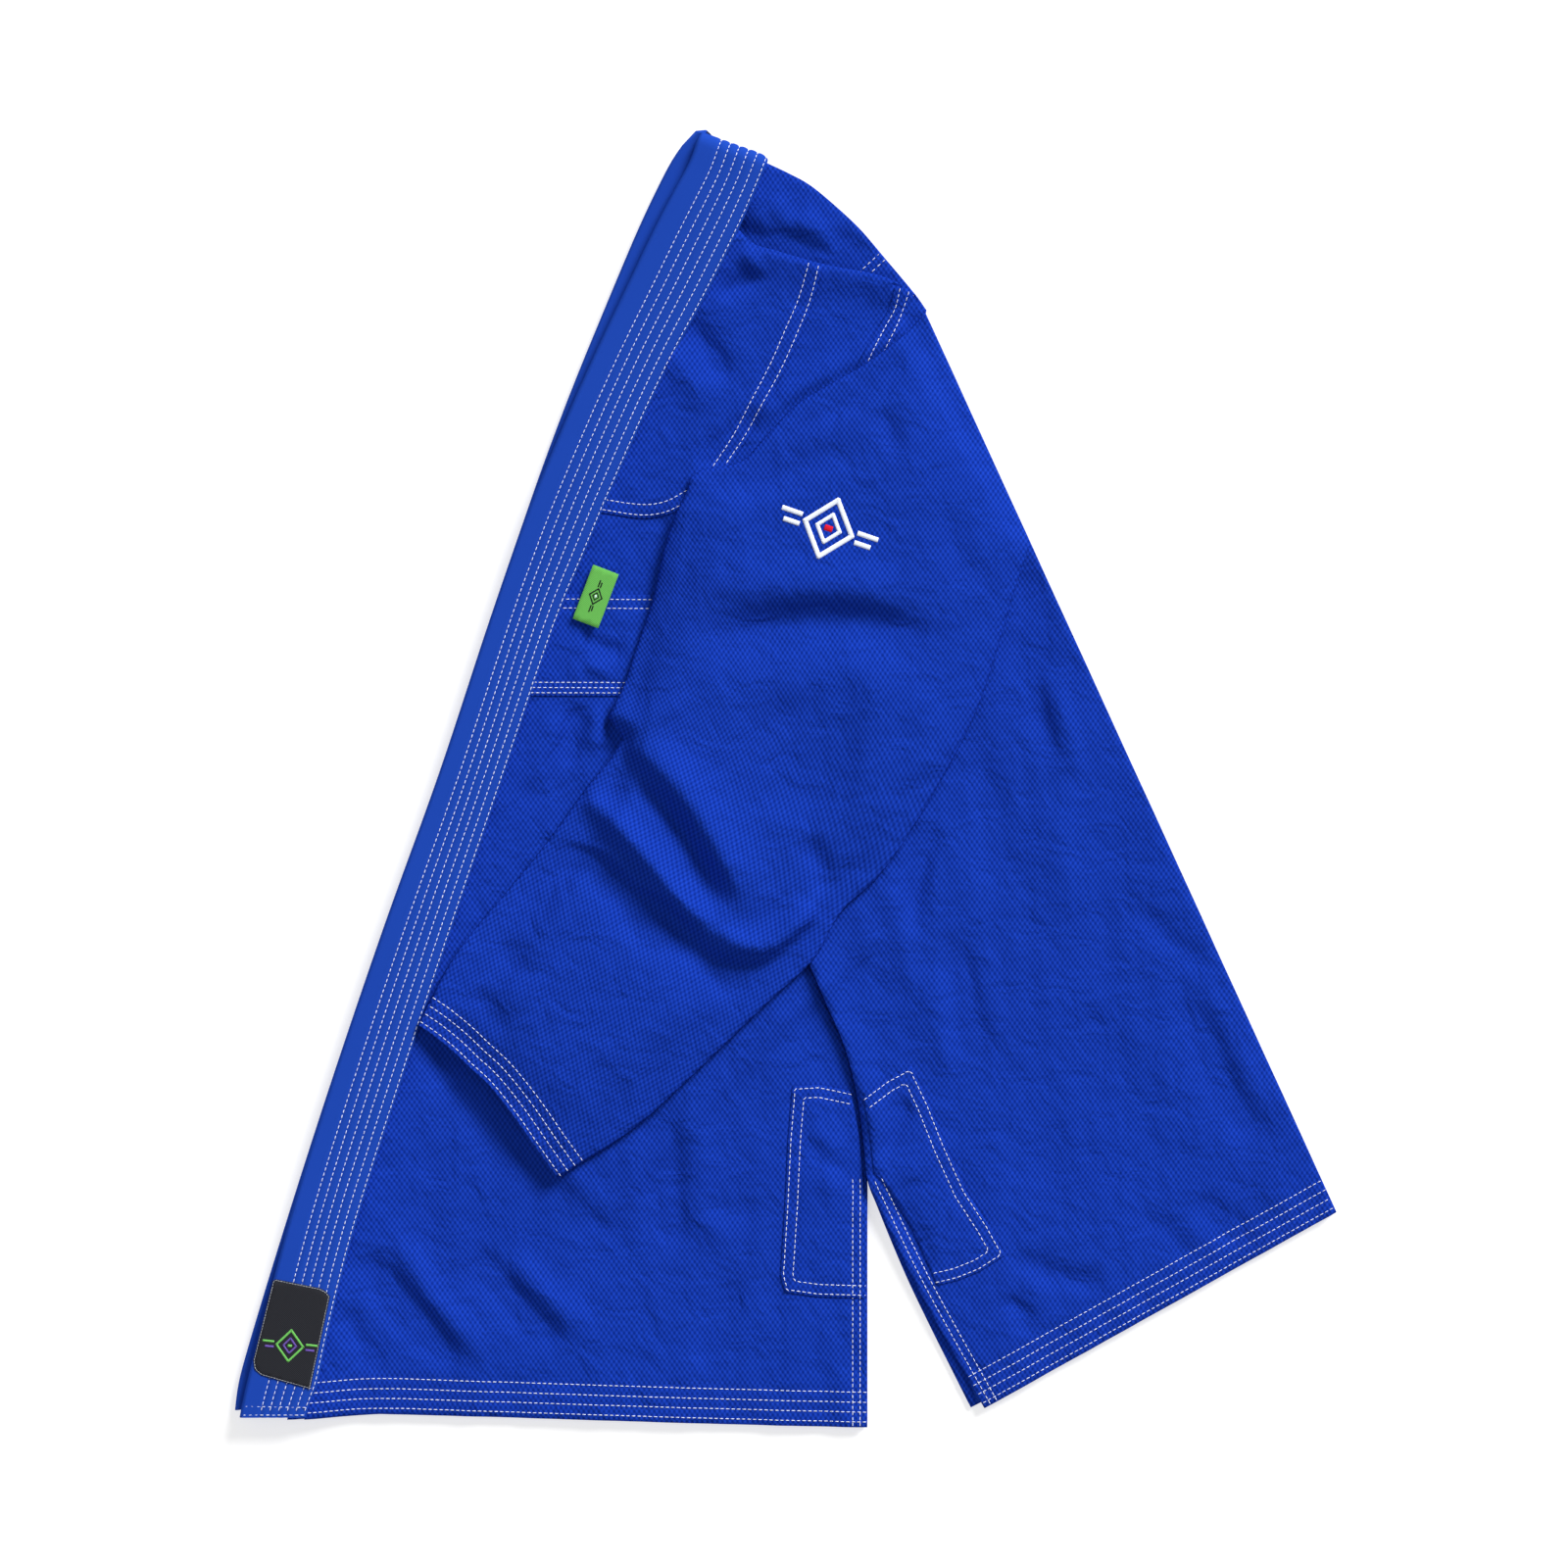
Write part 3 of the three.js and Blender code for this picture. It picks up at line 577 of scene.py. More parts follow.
SLEEVE_TURN: Line = ((92, 304), (80, 292), (56, 273), (38, 262), (15, 249), (2, 238), (-16, 218))
ELBOW_CREASE: Line = (
    (-176, -62), (-150, -54), (-126, -58), (-100, -82), (-80, -92), (-54, -120), (-30, -134),
)
SLEEVE_FOLDS = (
    Fold(SLEEVE_TURN, -4.0, 13, 6, 1.0, 0.4),
    Fold(((-56, 188), (-20, 196), (30, 214), (66, 224)), -2.2, 14, 12),
    Fold(((14, 246), (36, 256), (60, 262)), -2.6, 8, 12),
    Fold(((60, 250), (72, 226), (76, 208)), -1.8, 8, 9),
    Fold(((-70, 132), (-20, 126), (40, 126), (96, 112)), 2.6, 20, 13),
    Fold(((-72, 92), (-43, 94), (10, 104), (63, 101), (116, 82)), -5.0, 12, 24),
    Fold(((24, 92), (56, 60), (56, 10), (48, -60)), 2.0, 26, 12),
    Fold(((-10, 60), (6, 10), (4, -40)), -2.4, 30, 30),
    Fold(((-119, 40), (-96, 34), (-60, 56)), 1.6, 10, 9),
    Fold(((-120, 34), (-98, 18), (-74, -6), (-52, -38), (-32, -74), (-20, -100)), 6.0, 17, 8, 0.4),
    Fold(((-108, 12), (-92, -12), (-72, -36), (-54, -66), (-40, -96)), -3.4, 7, 7),
    Fold(((-138, -12), (-112, -34), (-88, -62), (-62, -92), (-36, -112)), 6.4, 9, 8, 0.5),
    Fold(((-36, -112), (-14, -116), (8, -102), (30, -84)), 4.4, 10, 7, 1.0),
    Fold(ELBOW_CREASE, -5.2, 5, 18, 0.5, 1.0),
    Fold(((-30, -134), (-12, -131), (6, -116), (24, -98), (44, -64)), -4.6, 5, 12, 1.0, 0.3),
    Fold(((10, -40), (24, -62), (26, -84)), -2.4, 8, 8),
    Fold(((-112, -88), (-96, -108), (-86, -128)), -1.8, 12, 12),
    Fold(((-200, -118), (-182, -124), (-166, -146)), -1.4, 9, 9),
    Fold(((-214, -146), (-196, -162), (-184, -178)), -1.6, 8, 8),
    Fold(((-60, -150), (-96, -176), (-124, -212)), 1.6, 18, 16),
    Fold(((88, 60), (100, 20), (84, -10)), 1.2, 12, 14),
    Fold(((106, 190), (118, 150), (128, 118)), -1.4, 10, 14),
)


@dataclass
class Pile:
    """Heights of the jacket's layers where it lies folded on a table."""

    near_band: np.ndarray
    far_band: np.ndarray
    near_sleeve: Outline
    far_sleeve: Outline
    far_rest: float = 2.3
    over_sleeve: float = 4.1
    over_band: float = 2.4
    between: float = 4.3
    least_between: float = 1.8
    band_middle: float = 13.0
    band_half: float = 20.0
    sleeve_gap: float = 3.4
    seat: float = 1.6
    puff: float = 8.0
    roll: float = 5.0
    flattened: float = 0.8

    def beside(self, p: np.ndarray, band: np.ndarray, slope: float) -> np.ndarray:
        """How much a leg of the collar lifts each point: 1 along it, less away from it."""
        away = np.maximum(nearest(p, band)[0] - self.band_half, 0)
        return np.exp(-((away / slope) ** 2))

    def far(self, p: np.ndarray) -> np.ndarray:
        """Middle height of the half that lies underneath."""
        under = smoothstep((self.far_sleeve.depth(p) + 9) / 16)
        band = self.beside(p, self.far_band, 26)
        return self.far_rest + self.over_sleeve * under + self.over_band * band * (1 - under)

    def near(self, p: np.ndarray) -> np.ndarray:
        """Middle height of the upper half, before its folds."""
        middle = self.far(p) + self.between
        return middle + (self.band_middle - middle) * self.beside(p, self.near_band, 24)

    def covered(self, p: np.ndarray) -> np.ndarray:
        """How much of the upper sleeve lies on each point, 0 to 1."""
        return smoothstep((self.near_sleeve.depth(p) - 6) / 22)

    def waves(self, p: np.ndarray, seed: float) -> np.ndarray:
        """Unevenness of the upper half between its folds."""
        return 2.0 * ripple(p, 34, 120, -100, seed) + 0.8 * ripple(p, 14, 40, -80, seed + 7)

    def _panel(self, p: np.ndarray, folds: tuple[Fold, ...], seed: float) -> np.ndarray:
        """Middle height of an upper panel, with its folds and waves."""
        raised = sum(f.height(p) for f in folds) + self.waves(p, seed)
        laid = self.near(p) + raised * (1 - self.flattened * self.covered(p))
        return np.maximum(laid, self.far(p) + self.least_between)

    def front(self, p: np.ndarray) -> np.ndarray:
        """Middle height of the upper front panel."""
        return self._panel(p, FRONT_FOLDS, 3.0)

    def back(self, p: np.ndarray) -> np.ndarray:
        """Middle height of the upper back panel."""
        return self._panel(p, BACK_FOLDS, 5.0)

    def under(self, p: np.ndarray) -> np.ndarray:
        """Middle height of a panel of the half underneath."""
        return np.maximum(self.far(p) + 0.3 * ripple(p, 30, 90, -100, 11.0), 1.0)

    def rounded(self, depth: np.ndarray) -> np.ndarray:
        """How open a sleeve is at a depth inside its folded edge, 0 to 1."""
        return np.sqrt(np.maximum(1 - (1 - np.minimum(depth / self.roll, 1)) ** 2, 0))

    def sleeve_base(self, p: np.ndarray) -> np.ndarray:
        """Lowest height of the upper sleeve."""
        return self.near(p) + self.sleeve_gap

    def sleeve_top(self, p: np.ndarray) -> np.ndarray:
        """Top height of the upper sleeve."""
        depth = np.maximum(self.near_sleeve.depth(p), 0)
        folds = sum(f.height(p) for f in SLEEVE_FOLDS)
        folds = folds + 1.6 * ripple(p, 26, 80, 60, 21.0) + 0.7 * ripple(p, 12, 34, 40, 23.0)
        body = 3.0 + self.puff * (1 - np.exp(-((depth / 26) ** 2))) + folds * smoothstep(depth / 10)
        return self.sleeve_base(p) + self.seat + np.maximum(body, 2.2) * self.rounded(depth)

    def sleeve_floor(self, p: np.ndarray) -> np.ndarray:
        """Underside of the upper sleeve."""
        depth = np.maximum(self.near_sleeve.depth(p), 0)
        return self.sleeve_base(p) + self.seat - self.seat * self.rounded(depth)


# ---- cloth ----
@dataclass
class Cloth:
    """A piece of cloth: its cut, how fine its mesh is, and how it is laid."""

    name: str
    cut: Outline
    finish: Finish
    thickness: float = 1.4
    spacing: float = FINE
    grain: float = 0.0
    dents: tuple[np.ndarray, ...] = ()

    def flat_mesh(self, rings: tuple[float, ...] = ()) -> tuple[np.ndarray, np.ndarray]:
        """Fills the cut with even triangles.

        Args:
            rings: Extra rows of points at these depths inside the edge.

        Returns:
            Points as (n, 2) and triangles as (m, 3), anticlockwise.
        """
        step = self.spacing * 1.0
        edge = self._edge(step)
        low, high = edge.min(0), edge.max(0)
        rows = np.arange(low[1] + step / 2, high[1], step * ROW_SHARE)
        cols = np.arange(low[0], high[0], step)
        grid = np.array([(x + (i % 2) * step / 2, y) for i, y in enumerate(rows) for x in cols])
        loop = Outline(edge)
        keep = loop.depth(grid) > (max(rings) if rings else 0) + step * 0.6
        grid = grid[keep]
        added = [grid]
        for depth in rings:
            added.append(offset(np.vstack([edge[-1:], edge, edge[:1]]), depth)[1:-1])
        for dent in self.dents:
            rail = resampled(dent, step)
            for shift in (-2.2, 0.0, 2.2):
                row = offset(rail, shift)
                row = row[loop.depth(row) > step * 0.45]
                if len(row):
                    near = nearest(added[0], rail)[0] if len(added[0]) else np.zeros(0)
                    if shift == 0.0:
                        added[0] = added[0][near > 3.4]
                    added.append(row)
        inner = np.vstack(added)
        inner = inner[loop.contains(inner)]
        keys = np.unique(np.round(inner / 0.9).astype(int), axis=0, return_index=True)[1]
        inner = inner[np.sort(keys)]
        points = [Vector((float(x), float(y))) for x, y in np.vstack([edge, inner])]
        ring = [(i, (i + 1) % len(edge)) for i in range(len(edge))]
        result = delaunay_2d_cdt(points, ring, [], 1, 1e-6)
        flat = np.array([(v.x, v.y) for v in result[0]])
        triangles = np.array([f for f in result[2] if len(f) == 3])
        a, b, c = (flat[triangles[:, i]] for i in range(3))
        turn = (b[:, 0] - a[:, 0]) * (c[:, 1] - a[:, 1]) - (b[:, 1] - a[:, 1]) * (c[:, 0] - a[:, 0])
        triangles[turn < 0] = triangles[turn < 0][:, ::-1]
        return flat, triangles[np.abs(turn) > 1e-7]

    def _edge(self, step: float) -> np.ndarray:
        """The cut's edge with a point at about every step, its corners kept."""
        loop = self.cut.closed()
        out = []
        for a, b in zip(loop[:-1], loop[1:]):
            count = max(1, int(round(float(np.hypot(*(b - a))) / step)))
            out += [a + (b - a) * i / count for i in range(count)]
        edge = np.array(out)
        gap = np.hypot(*(edge - np.roll(edge, 1, axis=0)).T)
        return edge[gap > 0.4]

    def dent(self, points: np.ndarray) -> np.ndarray:
        """How far stitching pulls the cloth in, in millimetres."""
        pulled = np.zeros(len(points))
        for line in self.dents:
            pulled = np.maximum(pulled, np.exp(-((nearest(points, line)[0] / 1.5) ** 2)))
        return DENT * pulled

    def lay(self, middle: Height, facing: float = 1.0) -> bpy.types.Object:
        """Makes the cloth as a closed mesh at a height.

        Args:
            middle: Height of the cloth's middle at each point.
            facing: 1 if the stitched side looks up, -1 if it looks down.

        Returns:
            The object, at the origin.
        """
        flat, triangles = self.flat_mesh()
        height = middle(flat) - facing * self.dent(flat)
        centre = np.column_stack([flat, height])
        normal = vertex_normals(centre, triangles)
        half = self.thickness / 2
        ring = open_edges(triangles)
        count = len(flat)
        rim = ring[:, 0]
        run = flat[ring[:, 1]] - flat[ring[:, 0]]
        out = np.stack([run[:, 1], -run[:, 0]], axis=1)
        out /= np.maximum(np.hypot(*out.T), 1e-9)[:, None]
        outward = np.zeros((count, 2))
        np.add.at(outward, ring[:, 0], out)
        np.add.at(outward, ring[:, 1], out)
        outward /= np.maximum(np.hypot(*outward.T), 1e-9)[:, None]
        bulge = centre[rim].copy()
        bulge[:, :2] += outward[rim] * half * 0.55
        place = {int(v): 2 * count + i for i, v in enumerate(rim)}
        vertices = np.vstack([centre + normal * half, centre - normal * half, bulge])
        faces = [tuple(t) for t in triangles] + [tuple(t[::-1] + count) for t in triangles]
        for a, b in ring:
            middle_a, middle_b = place[int(a)], place[int(b)]
            faces.append((middle_a, middle_b, int(b), int(a)))
            faces.append((int(a) + count, int(b) + count, middle_b, middle_a))
        grain = np.vstack([flat, flat, flat[rim]])
        return made_object(self.name, vertices, faces, self.finish, turned(grain, self.grain))


def turned(points: np.ndarray, degrees: float) -> np.ndarray:
    """The points turned about the origin."""
    a = math.radians(degrees)
    return points @ np.array([[math.cos(a), math.sin(a)], [-math.sin(a), math.cos(a)]])


def vertex_normals(points: np.ndarray, triangles: np.ndarray) -> np.ndarray:
    """The surface's direction at each point."""
    a, b, c = (points[triangles[:, i]] for i in range(3))
    face = np.cross(b - a, c - a)
    normal = np.zeros_like(points)
    for i in range(3):
        np.add.at(normal, triangles[:, i], face)
    return normal / np.maximum(np.linalg.norm(normal, axis=1), 1e-12)[:, None]


def open_edges(triangles: np.ndarray) -> np.ndarray:
    """The edges with a face on one side only, in the faces' own direction."""
    every = {(int(t[i]), int(t[(i + 1) % 3])) for t in triangles for i in range(3)}
    return np.array(sorted(e for e in every if (e[1], e[0]) not in every))


def linked(name: str, data: bpy.types.ID) -> bpy.types.Object:
    """A new object in the scene."""
    made = bpy.data.objects.new(name, data)
    bpy.context.scene.collection.objects.link(made)
    return made


def made_object(
    name: str, vertices: np.ndarray, faces: list, finish: Finish, grain: np.ndarray | None = None
) -> bpy.types.Object:
    """Makes a mesh object from millimetres.

    Args:
        name: The piece's name.
        vertices: Places as (n, 3).
        faces: Tuples of vertex numbers, facing out.
        finish: What it is made of.
        grain: Places in the weave as (n, 2), or None.

    Returns:
        The object, linked to the scene.
    """
    mesh = bpy.data.meshes.new(name)
    mesh.from_pydata((vertices * METRE).tolist(), [], [tuple(int(i) for i in f) for f in faces])
    mesh.shade_smooth()
    if grain is not None:
        corners = np.zeros(len(mesh.loops), np.int32)
        mesh.loops.foreach_get("vertex_index", corners)
        layer = mesh.uv_layers.new(name="grain")
        layer.data.foreach_set("uv", (grain[corners] * METRE).astype(np.float32).ravel())
    mesh.materials.append(finish.material())
    return linked(name, mesh)


def drop_loose(mesh: bmesh.types.BMesh) -> None:
    """Removes points that no face uses."""
    bmesh.ops.delete(mesh, geom=[v for v in mesh.verts if not v.link_faces], context="VERTS")


def face_out(mesh: bmesh.types.BMesh) -> None:
    """Turns the faces of a closed mesh outwards."""
    bmesh.ops.recalc_face_normals(mesh, faces=mesh.faces)


def thickened(made: bpy.types.Object, ply: float, offset_share: float) -> None:
    """Gives an open sheet its thickness, to one side of it (-1) or both (0)."""
    wall = made.modifiers.new("ply", "SOLIDIFY")
    wall.thickness = ply * METRE
    wall.offset = offset_share


def mended(made: bpy.types.Object, work: Callable[[bmesh.types.BMesh], object]) -> bpy.types.Object:
    """Runs one step of mesh editing on a piece."""
    mesh = bmesh.new()
    mesh.from_mesh(made.data)
    work(mesh)
    mesh.to_mesh(made.data)
    mesh.free()
    return made


def settle(
    made: bpy.types.Object,
    body: str,
    finish: Finish,
    nodes: tuple[str, ...] = (),
    cut: Outline | None = None,
) -> bpy.types.Object:
    """Hangs a finished piece on the CAD body that it moves with, hides the CAD nodes that it stands for and
    logs it.

    Args:
        made: The piece.
        body: The CAD body that it moves with.
        finish: What it is made of. Not used.
        nodes: CAD nodes that it stands for.
        cut: Its flat cut, for a sheet of cloth.

    Returns:
        The same piece.
    """
    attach(made, body)
    if nodes:
        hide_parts(*nodes)
    if cut is not None:
        width, length = cut.sized()
    low = min(v.co.z for v in made.data.vertices) / METRE
    log.info("%s: %d vertices from %.1f mm up, rides on %s", made.name, len(made.data.vertices), low, body)
    return made


# ---- shapes that follow a rule, as Geometry Nodes ----
@dataclass
class Tree:
    """A Geometry Nodes tree with named inputs."""

    name: str
    inputs: dict[str, str] = field(default_factory=dict)

    def __post_init__(self) -> None:
        """Makes the empty tree."""
        self.tree = bpy.data.node_groups.new(self.name, "GeometryNodeTree")
        self.entry = self.tree.nodes.new("NodeGroupInput")
        self.exit = self.tree.nodes.new("NodeGroupOutput")
        for way in ("INPUT", "OUTPUT"):
            self.tree.interface.new_socket("Geometry", in_out=way, socket_type="NodeSocketGeometry")
        self.sockets = {
            label: self.tree.interface.new_socket(label, in_out="INPUT", socket_type=kind).identifier
            for label, kind in self.inputs.items()
        }

    def node(self, kind: str, **settings) -> bpy.types.Node:
        """Adds a node with some of its settings."""
        made = self.tree.nodes.new(kind)
        for key, value in settings.items():
            setattr(made, key, value)
        return made

    def join(self, *pairs: tuple[bpy.types.NodeSocket, bpy.types.NodeSocket]) -> None:
        """Links each source socket to its target."""
        for source, target in pairs:
            self.tree.links.new(source, target)

    def end(self, shape: bpy.types.NodeSocket, material: str) -> None:
        """Ends the tree: smooth, realized and with the material of that input."""
        smooth = self.node("GeometryNodeSetShadeSmooth")
        real = self.node("GeometryNodeRealizeInstances")
        dressed = self.node("GeometryNodeSetMaterial")
        self.join(
            (shape, smooth.inputs["Geometry"]),
            (smooth.outputs[0], real.inputs[0]),
            (real.outputs[0], dressed.inputs["Geometry"]),
            (self.entry.outputs[material], dressed.inputs["Material"]),
            (dressed.outputs[0], self.exit.inputs[0]),
        )

    def bake(self, on: bpy.types.Object, **values) -> bpy.types.Object:
        """Runs the tree on an object and keeps the result as a plain mesh.

        Args:
            on: The object with the tree's starting geometry.
            values: The tree's inputs by label.

        Returns:
            The same object.
        """
        modifier = on.modifiers.new(self.name, "NODES")
        modifier.node_group = self.tree
        for label, value in values.items():
            modifier[self.sockets[label]] = value
        on.update_tag()
        bpy.context.view_layer.update()
        graph = bpy.context.evaluated_depsgraph_get()
        shape = on.evaluated_get(graph)
        mesh = bpy.data.meshes.new_from_object(shape, preserve_all_data_layers=True, depsgraph=graph)
        on.modifiers.clear()
        on.data = mesh
        return on


def stitch_tree() -> Tree:
    """Stitches at an even pitch along every line of the mesh that it is given."""
    kinds = {"Pitch": "Float", "Stitch": "Vector", "Thread": "Material"}
    made = Tree("stitch_rows", {label: "NodeSocket" + kind for label, kind in kinds.items()})
    line = made.node("GeometryNodeMeshToCurve")
    spaced = made.node("GeometryNodeResampleCurve", mode="LENGTH")
    bead = set_inputs(made.node("GeometryNodeMeshUVSphere"), Segments=6, Rings=5, Radius=1.0)
    sized = made.node("GeometryNodeTransform")
    turn = made.node("FunctionNodeAlignRotationToVector", axis="X")
    way = made.node("GeometryNodeInputTangent")
    put = made.node("GeometryNodeInstanceOnPoints")
    made.join(
        (made.entry.outputs["Geometry"], line.inputs["Mesh"]),
        (line.outputs[0], spaced.inputs["Curve"]),
        (made.entry.outputs["Pitch"], spaced.inputs["Length"]),
        (bead.outputs["Mesh"], sized.inputs["Geometry"]),
        (made.entry.outputs["Stitch"], sized.inputs["Scale"]),
        (way.outputs[0], turn.inputs["Vector"]),
        (spaced.outputs[0], put.inputs["Points"]),
        (sized.outputs[0], put.inputs["Instance"]),
        (turn.outputs[0], put.inputs["Rotation"]),
    )
    made.end(put.outputs[0], "Thread")
    return made


def sweep_tree() -> Tree:
    """A profile carried along a line, upright as the line's own "up" says and sized by "fullness"."""
    made = Tree("sweep", {"Profile": "NodeSocketObject", "Cover": "NodeSocketMaterial"})
    line = made.node("GeometryNodeMeshToCurve")
    upright = made.node("GeometryNodeSetCurveNormal", mode="FREE")
    named = "GeometryNodeInputNamedAttribute"
    up = set_inputs(made.node(named, data_type="FLOAT_VECTOR"), Name="up")
    full = set_inputs(made.node(named, data_type="FLOAT"), Name="fullness")
    profile = made.node("GeometryNodeObjectInfo")
    ring = made.node("GeometryNodeMeshToCurve")
    swept = set_inputs(made.node("GeometryNodeCurveToMesh"), Fill_Caps=True)
    made.join(
        (made.entry.outputs["Geometry"], line.inputs["Mesh"]),
        (line.outputs[0], upright.inputs["Curve"]),
        (up.outputs["Attribute"], upright.inputs["Normal"]),
        (made.entry.outputs["Profile"], profile.inputs["Object"]),
        (profile.outputs["Geometry"], ring.inputs["Mesh"]),
        (upright.outputs[0], swept.inputs["Curve"]),
        (ring.outputs[0], swept.inputs["Profile Curve"]),
        (full.outputs["Attribute"], swept.inputs["Scale"]),
    )
    made.end(swept.outputs[0], "Cover")
    return made


def line_object(name: str, lines: list[np.ndarray], closed: bool = False) -> bpy.types.Object:
    """An object that holds only lines, given in millimetres."""
    vertices, edges = [], []
    for line in lines:
        first = len(vertices)
        vertices += (line * METRE).tolist()
        edges += [(first + i, first + i + 1) for i in range(len(line) - 1)]
        if closed:
            edges.append((len(vertices) - 1, first))
    mesh = bpy.data.meshes.new(name)
    mesh.from_pydata(vertices, edges, [])
    return linked(name, mesh)


@dataclass
class Sewing:
    """Rows of thread on one body, collected and then made as one piece."""

    name: str
    body: str
    pitch: float = 3.7
    stitch: tuple[float, float, float] = (1.5, 0.29, 0.3)
    rows: list[np.ndarray] = field(default_factory=list)

    def add(
        self, line: np.ndarray, top: Height, inside: Outline | None = None, margin: float = 1.2
    ) -> None:
        """Adds a row that lies on a surface.

        Args:
            line: The row's corners, as (n, 2).
            top: Height of the surface.
            inside: If given, only the part of the row inside it.
            margin: How far inside.
        """
        fine = resampled(line, 1.8)
        if inside is not None:
            fine = fine[inside.depth(fine) > margin]
        if len(fine) < 3:
            return
        gaps = np.flatnonzero(np.hypot(*np.diff(fine, axis=0).T) > 5)
        for part in np.split(fine, gaps + 1):
            if len(part) > 2:
                self.rows.append(np.column_stack([part, top(part)]))

    def make(self, tree: Tree, finish: Finish = WHITE) -> bpy.types.Object:
        """Runs the stitches along the rows."""
        made = line_object(self.name, self.rows)
        size = tuple(s * METRE for s in self.stitch)
        tree.bake(made, Pitch=self.pitch * METRE, Stitch=size, Thread=finish.material())
        return settle(made, self.body, finish)


# ---- the collar ----
BAND_OUTER: Line = (
    (-368, -437), (-360, -401), (-334, -301), (-303, -200), (-269, -100), (-233, 0), (-200, 100),
    (-176, 170), (-160, 210), (-143, 250), (-125, 290), (-106, 330), (-87, 370), (-71, 400), (-63, 415),
    (-58, 432),
)
BAND_INNER: Line = (
    (-322, -441), (-316, -418), (-307, -374), (-289, -303), (-256, -200), (-223, -100), (-189, 0),
    (-155, 100), (-136, 146), (-117, 191), (-92, 247), (-73, 286), (-53, 323), (-32, 365), (-21, 390),
    (-12, 412),
)
FAR_BAND_OUTER: Line = (
    (-371, -429), (-366, -400), (-336, -300), (-304, -200), (-270, -100), (-234, 0), (-201, 100),
    (-177, 170), (-163, 210), (-148, 250), (-132, 290), (-115, 330), (-97, 370), (-82, 400), (-72, 418),
    (-60, 433),
)


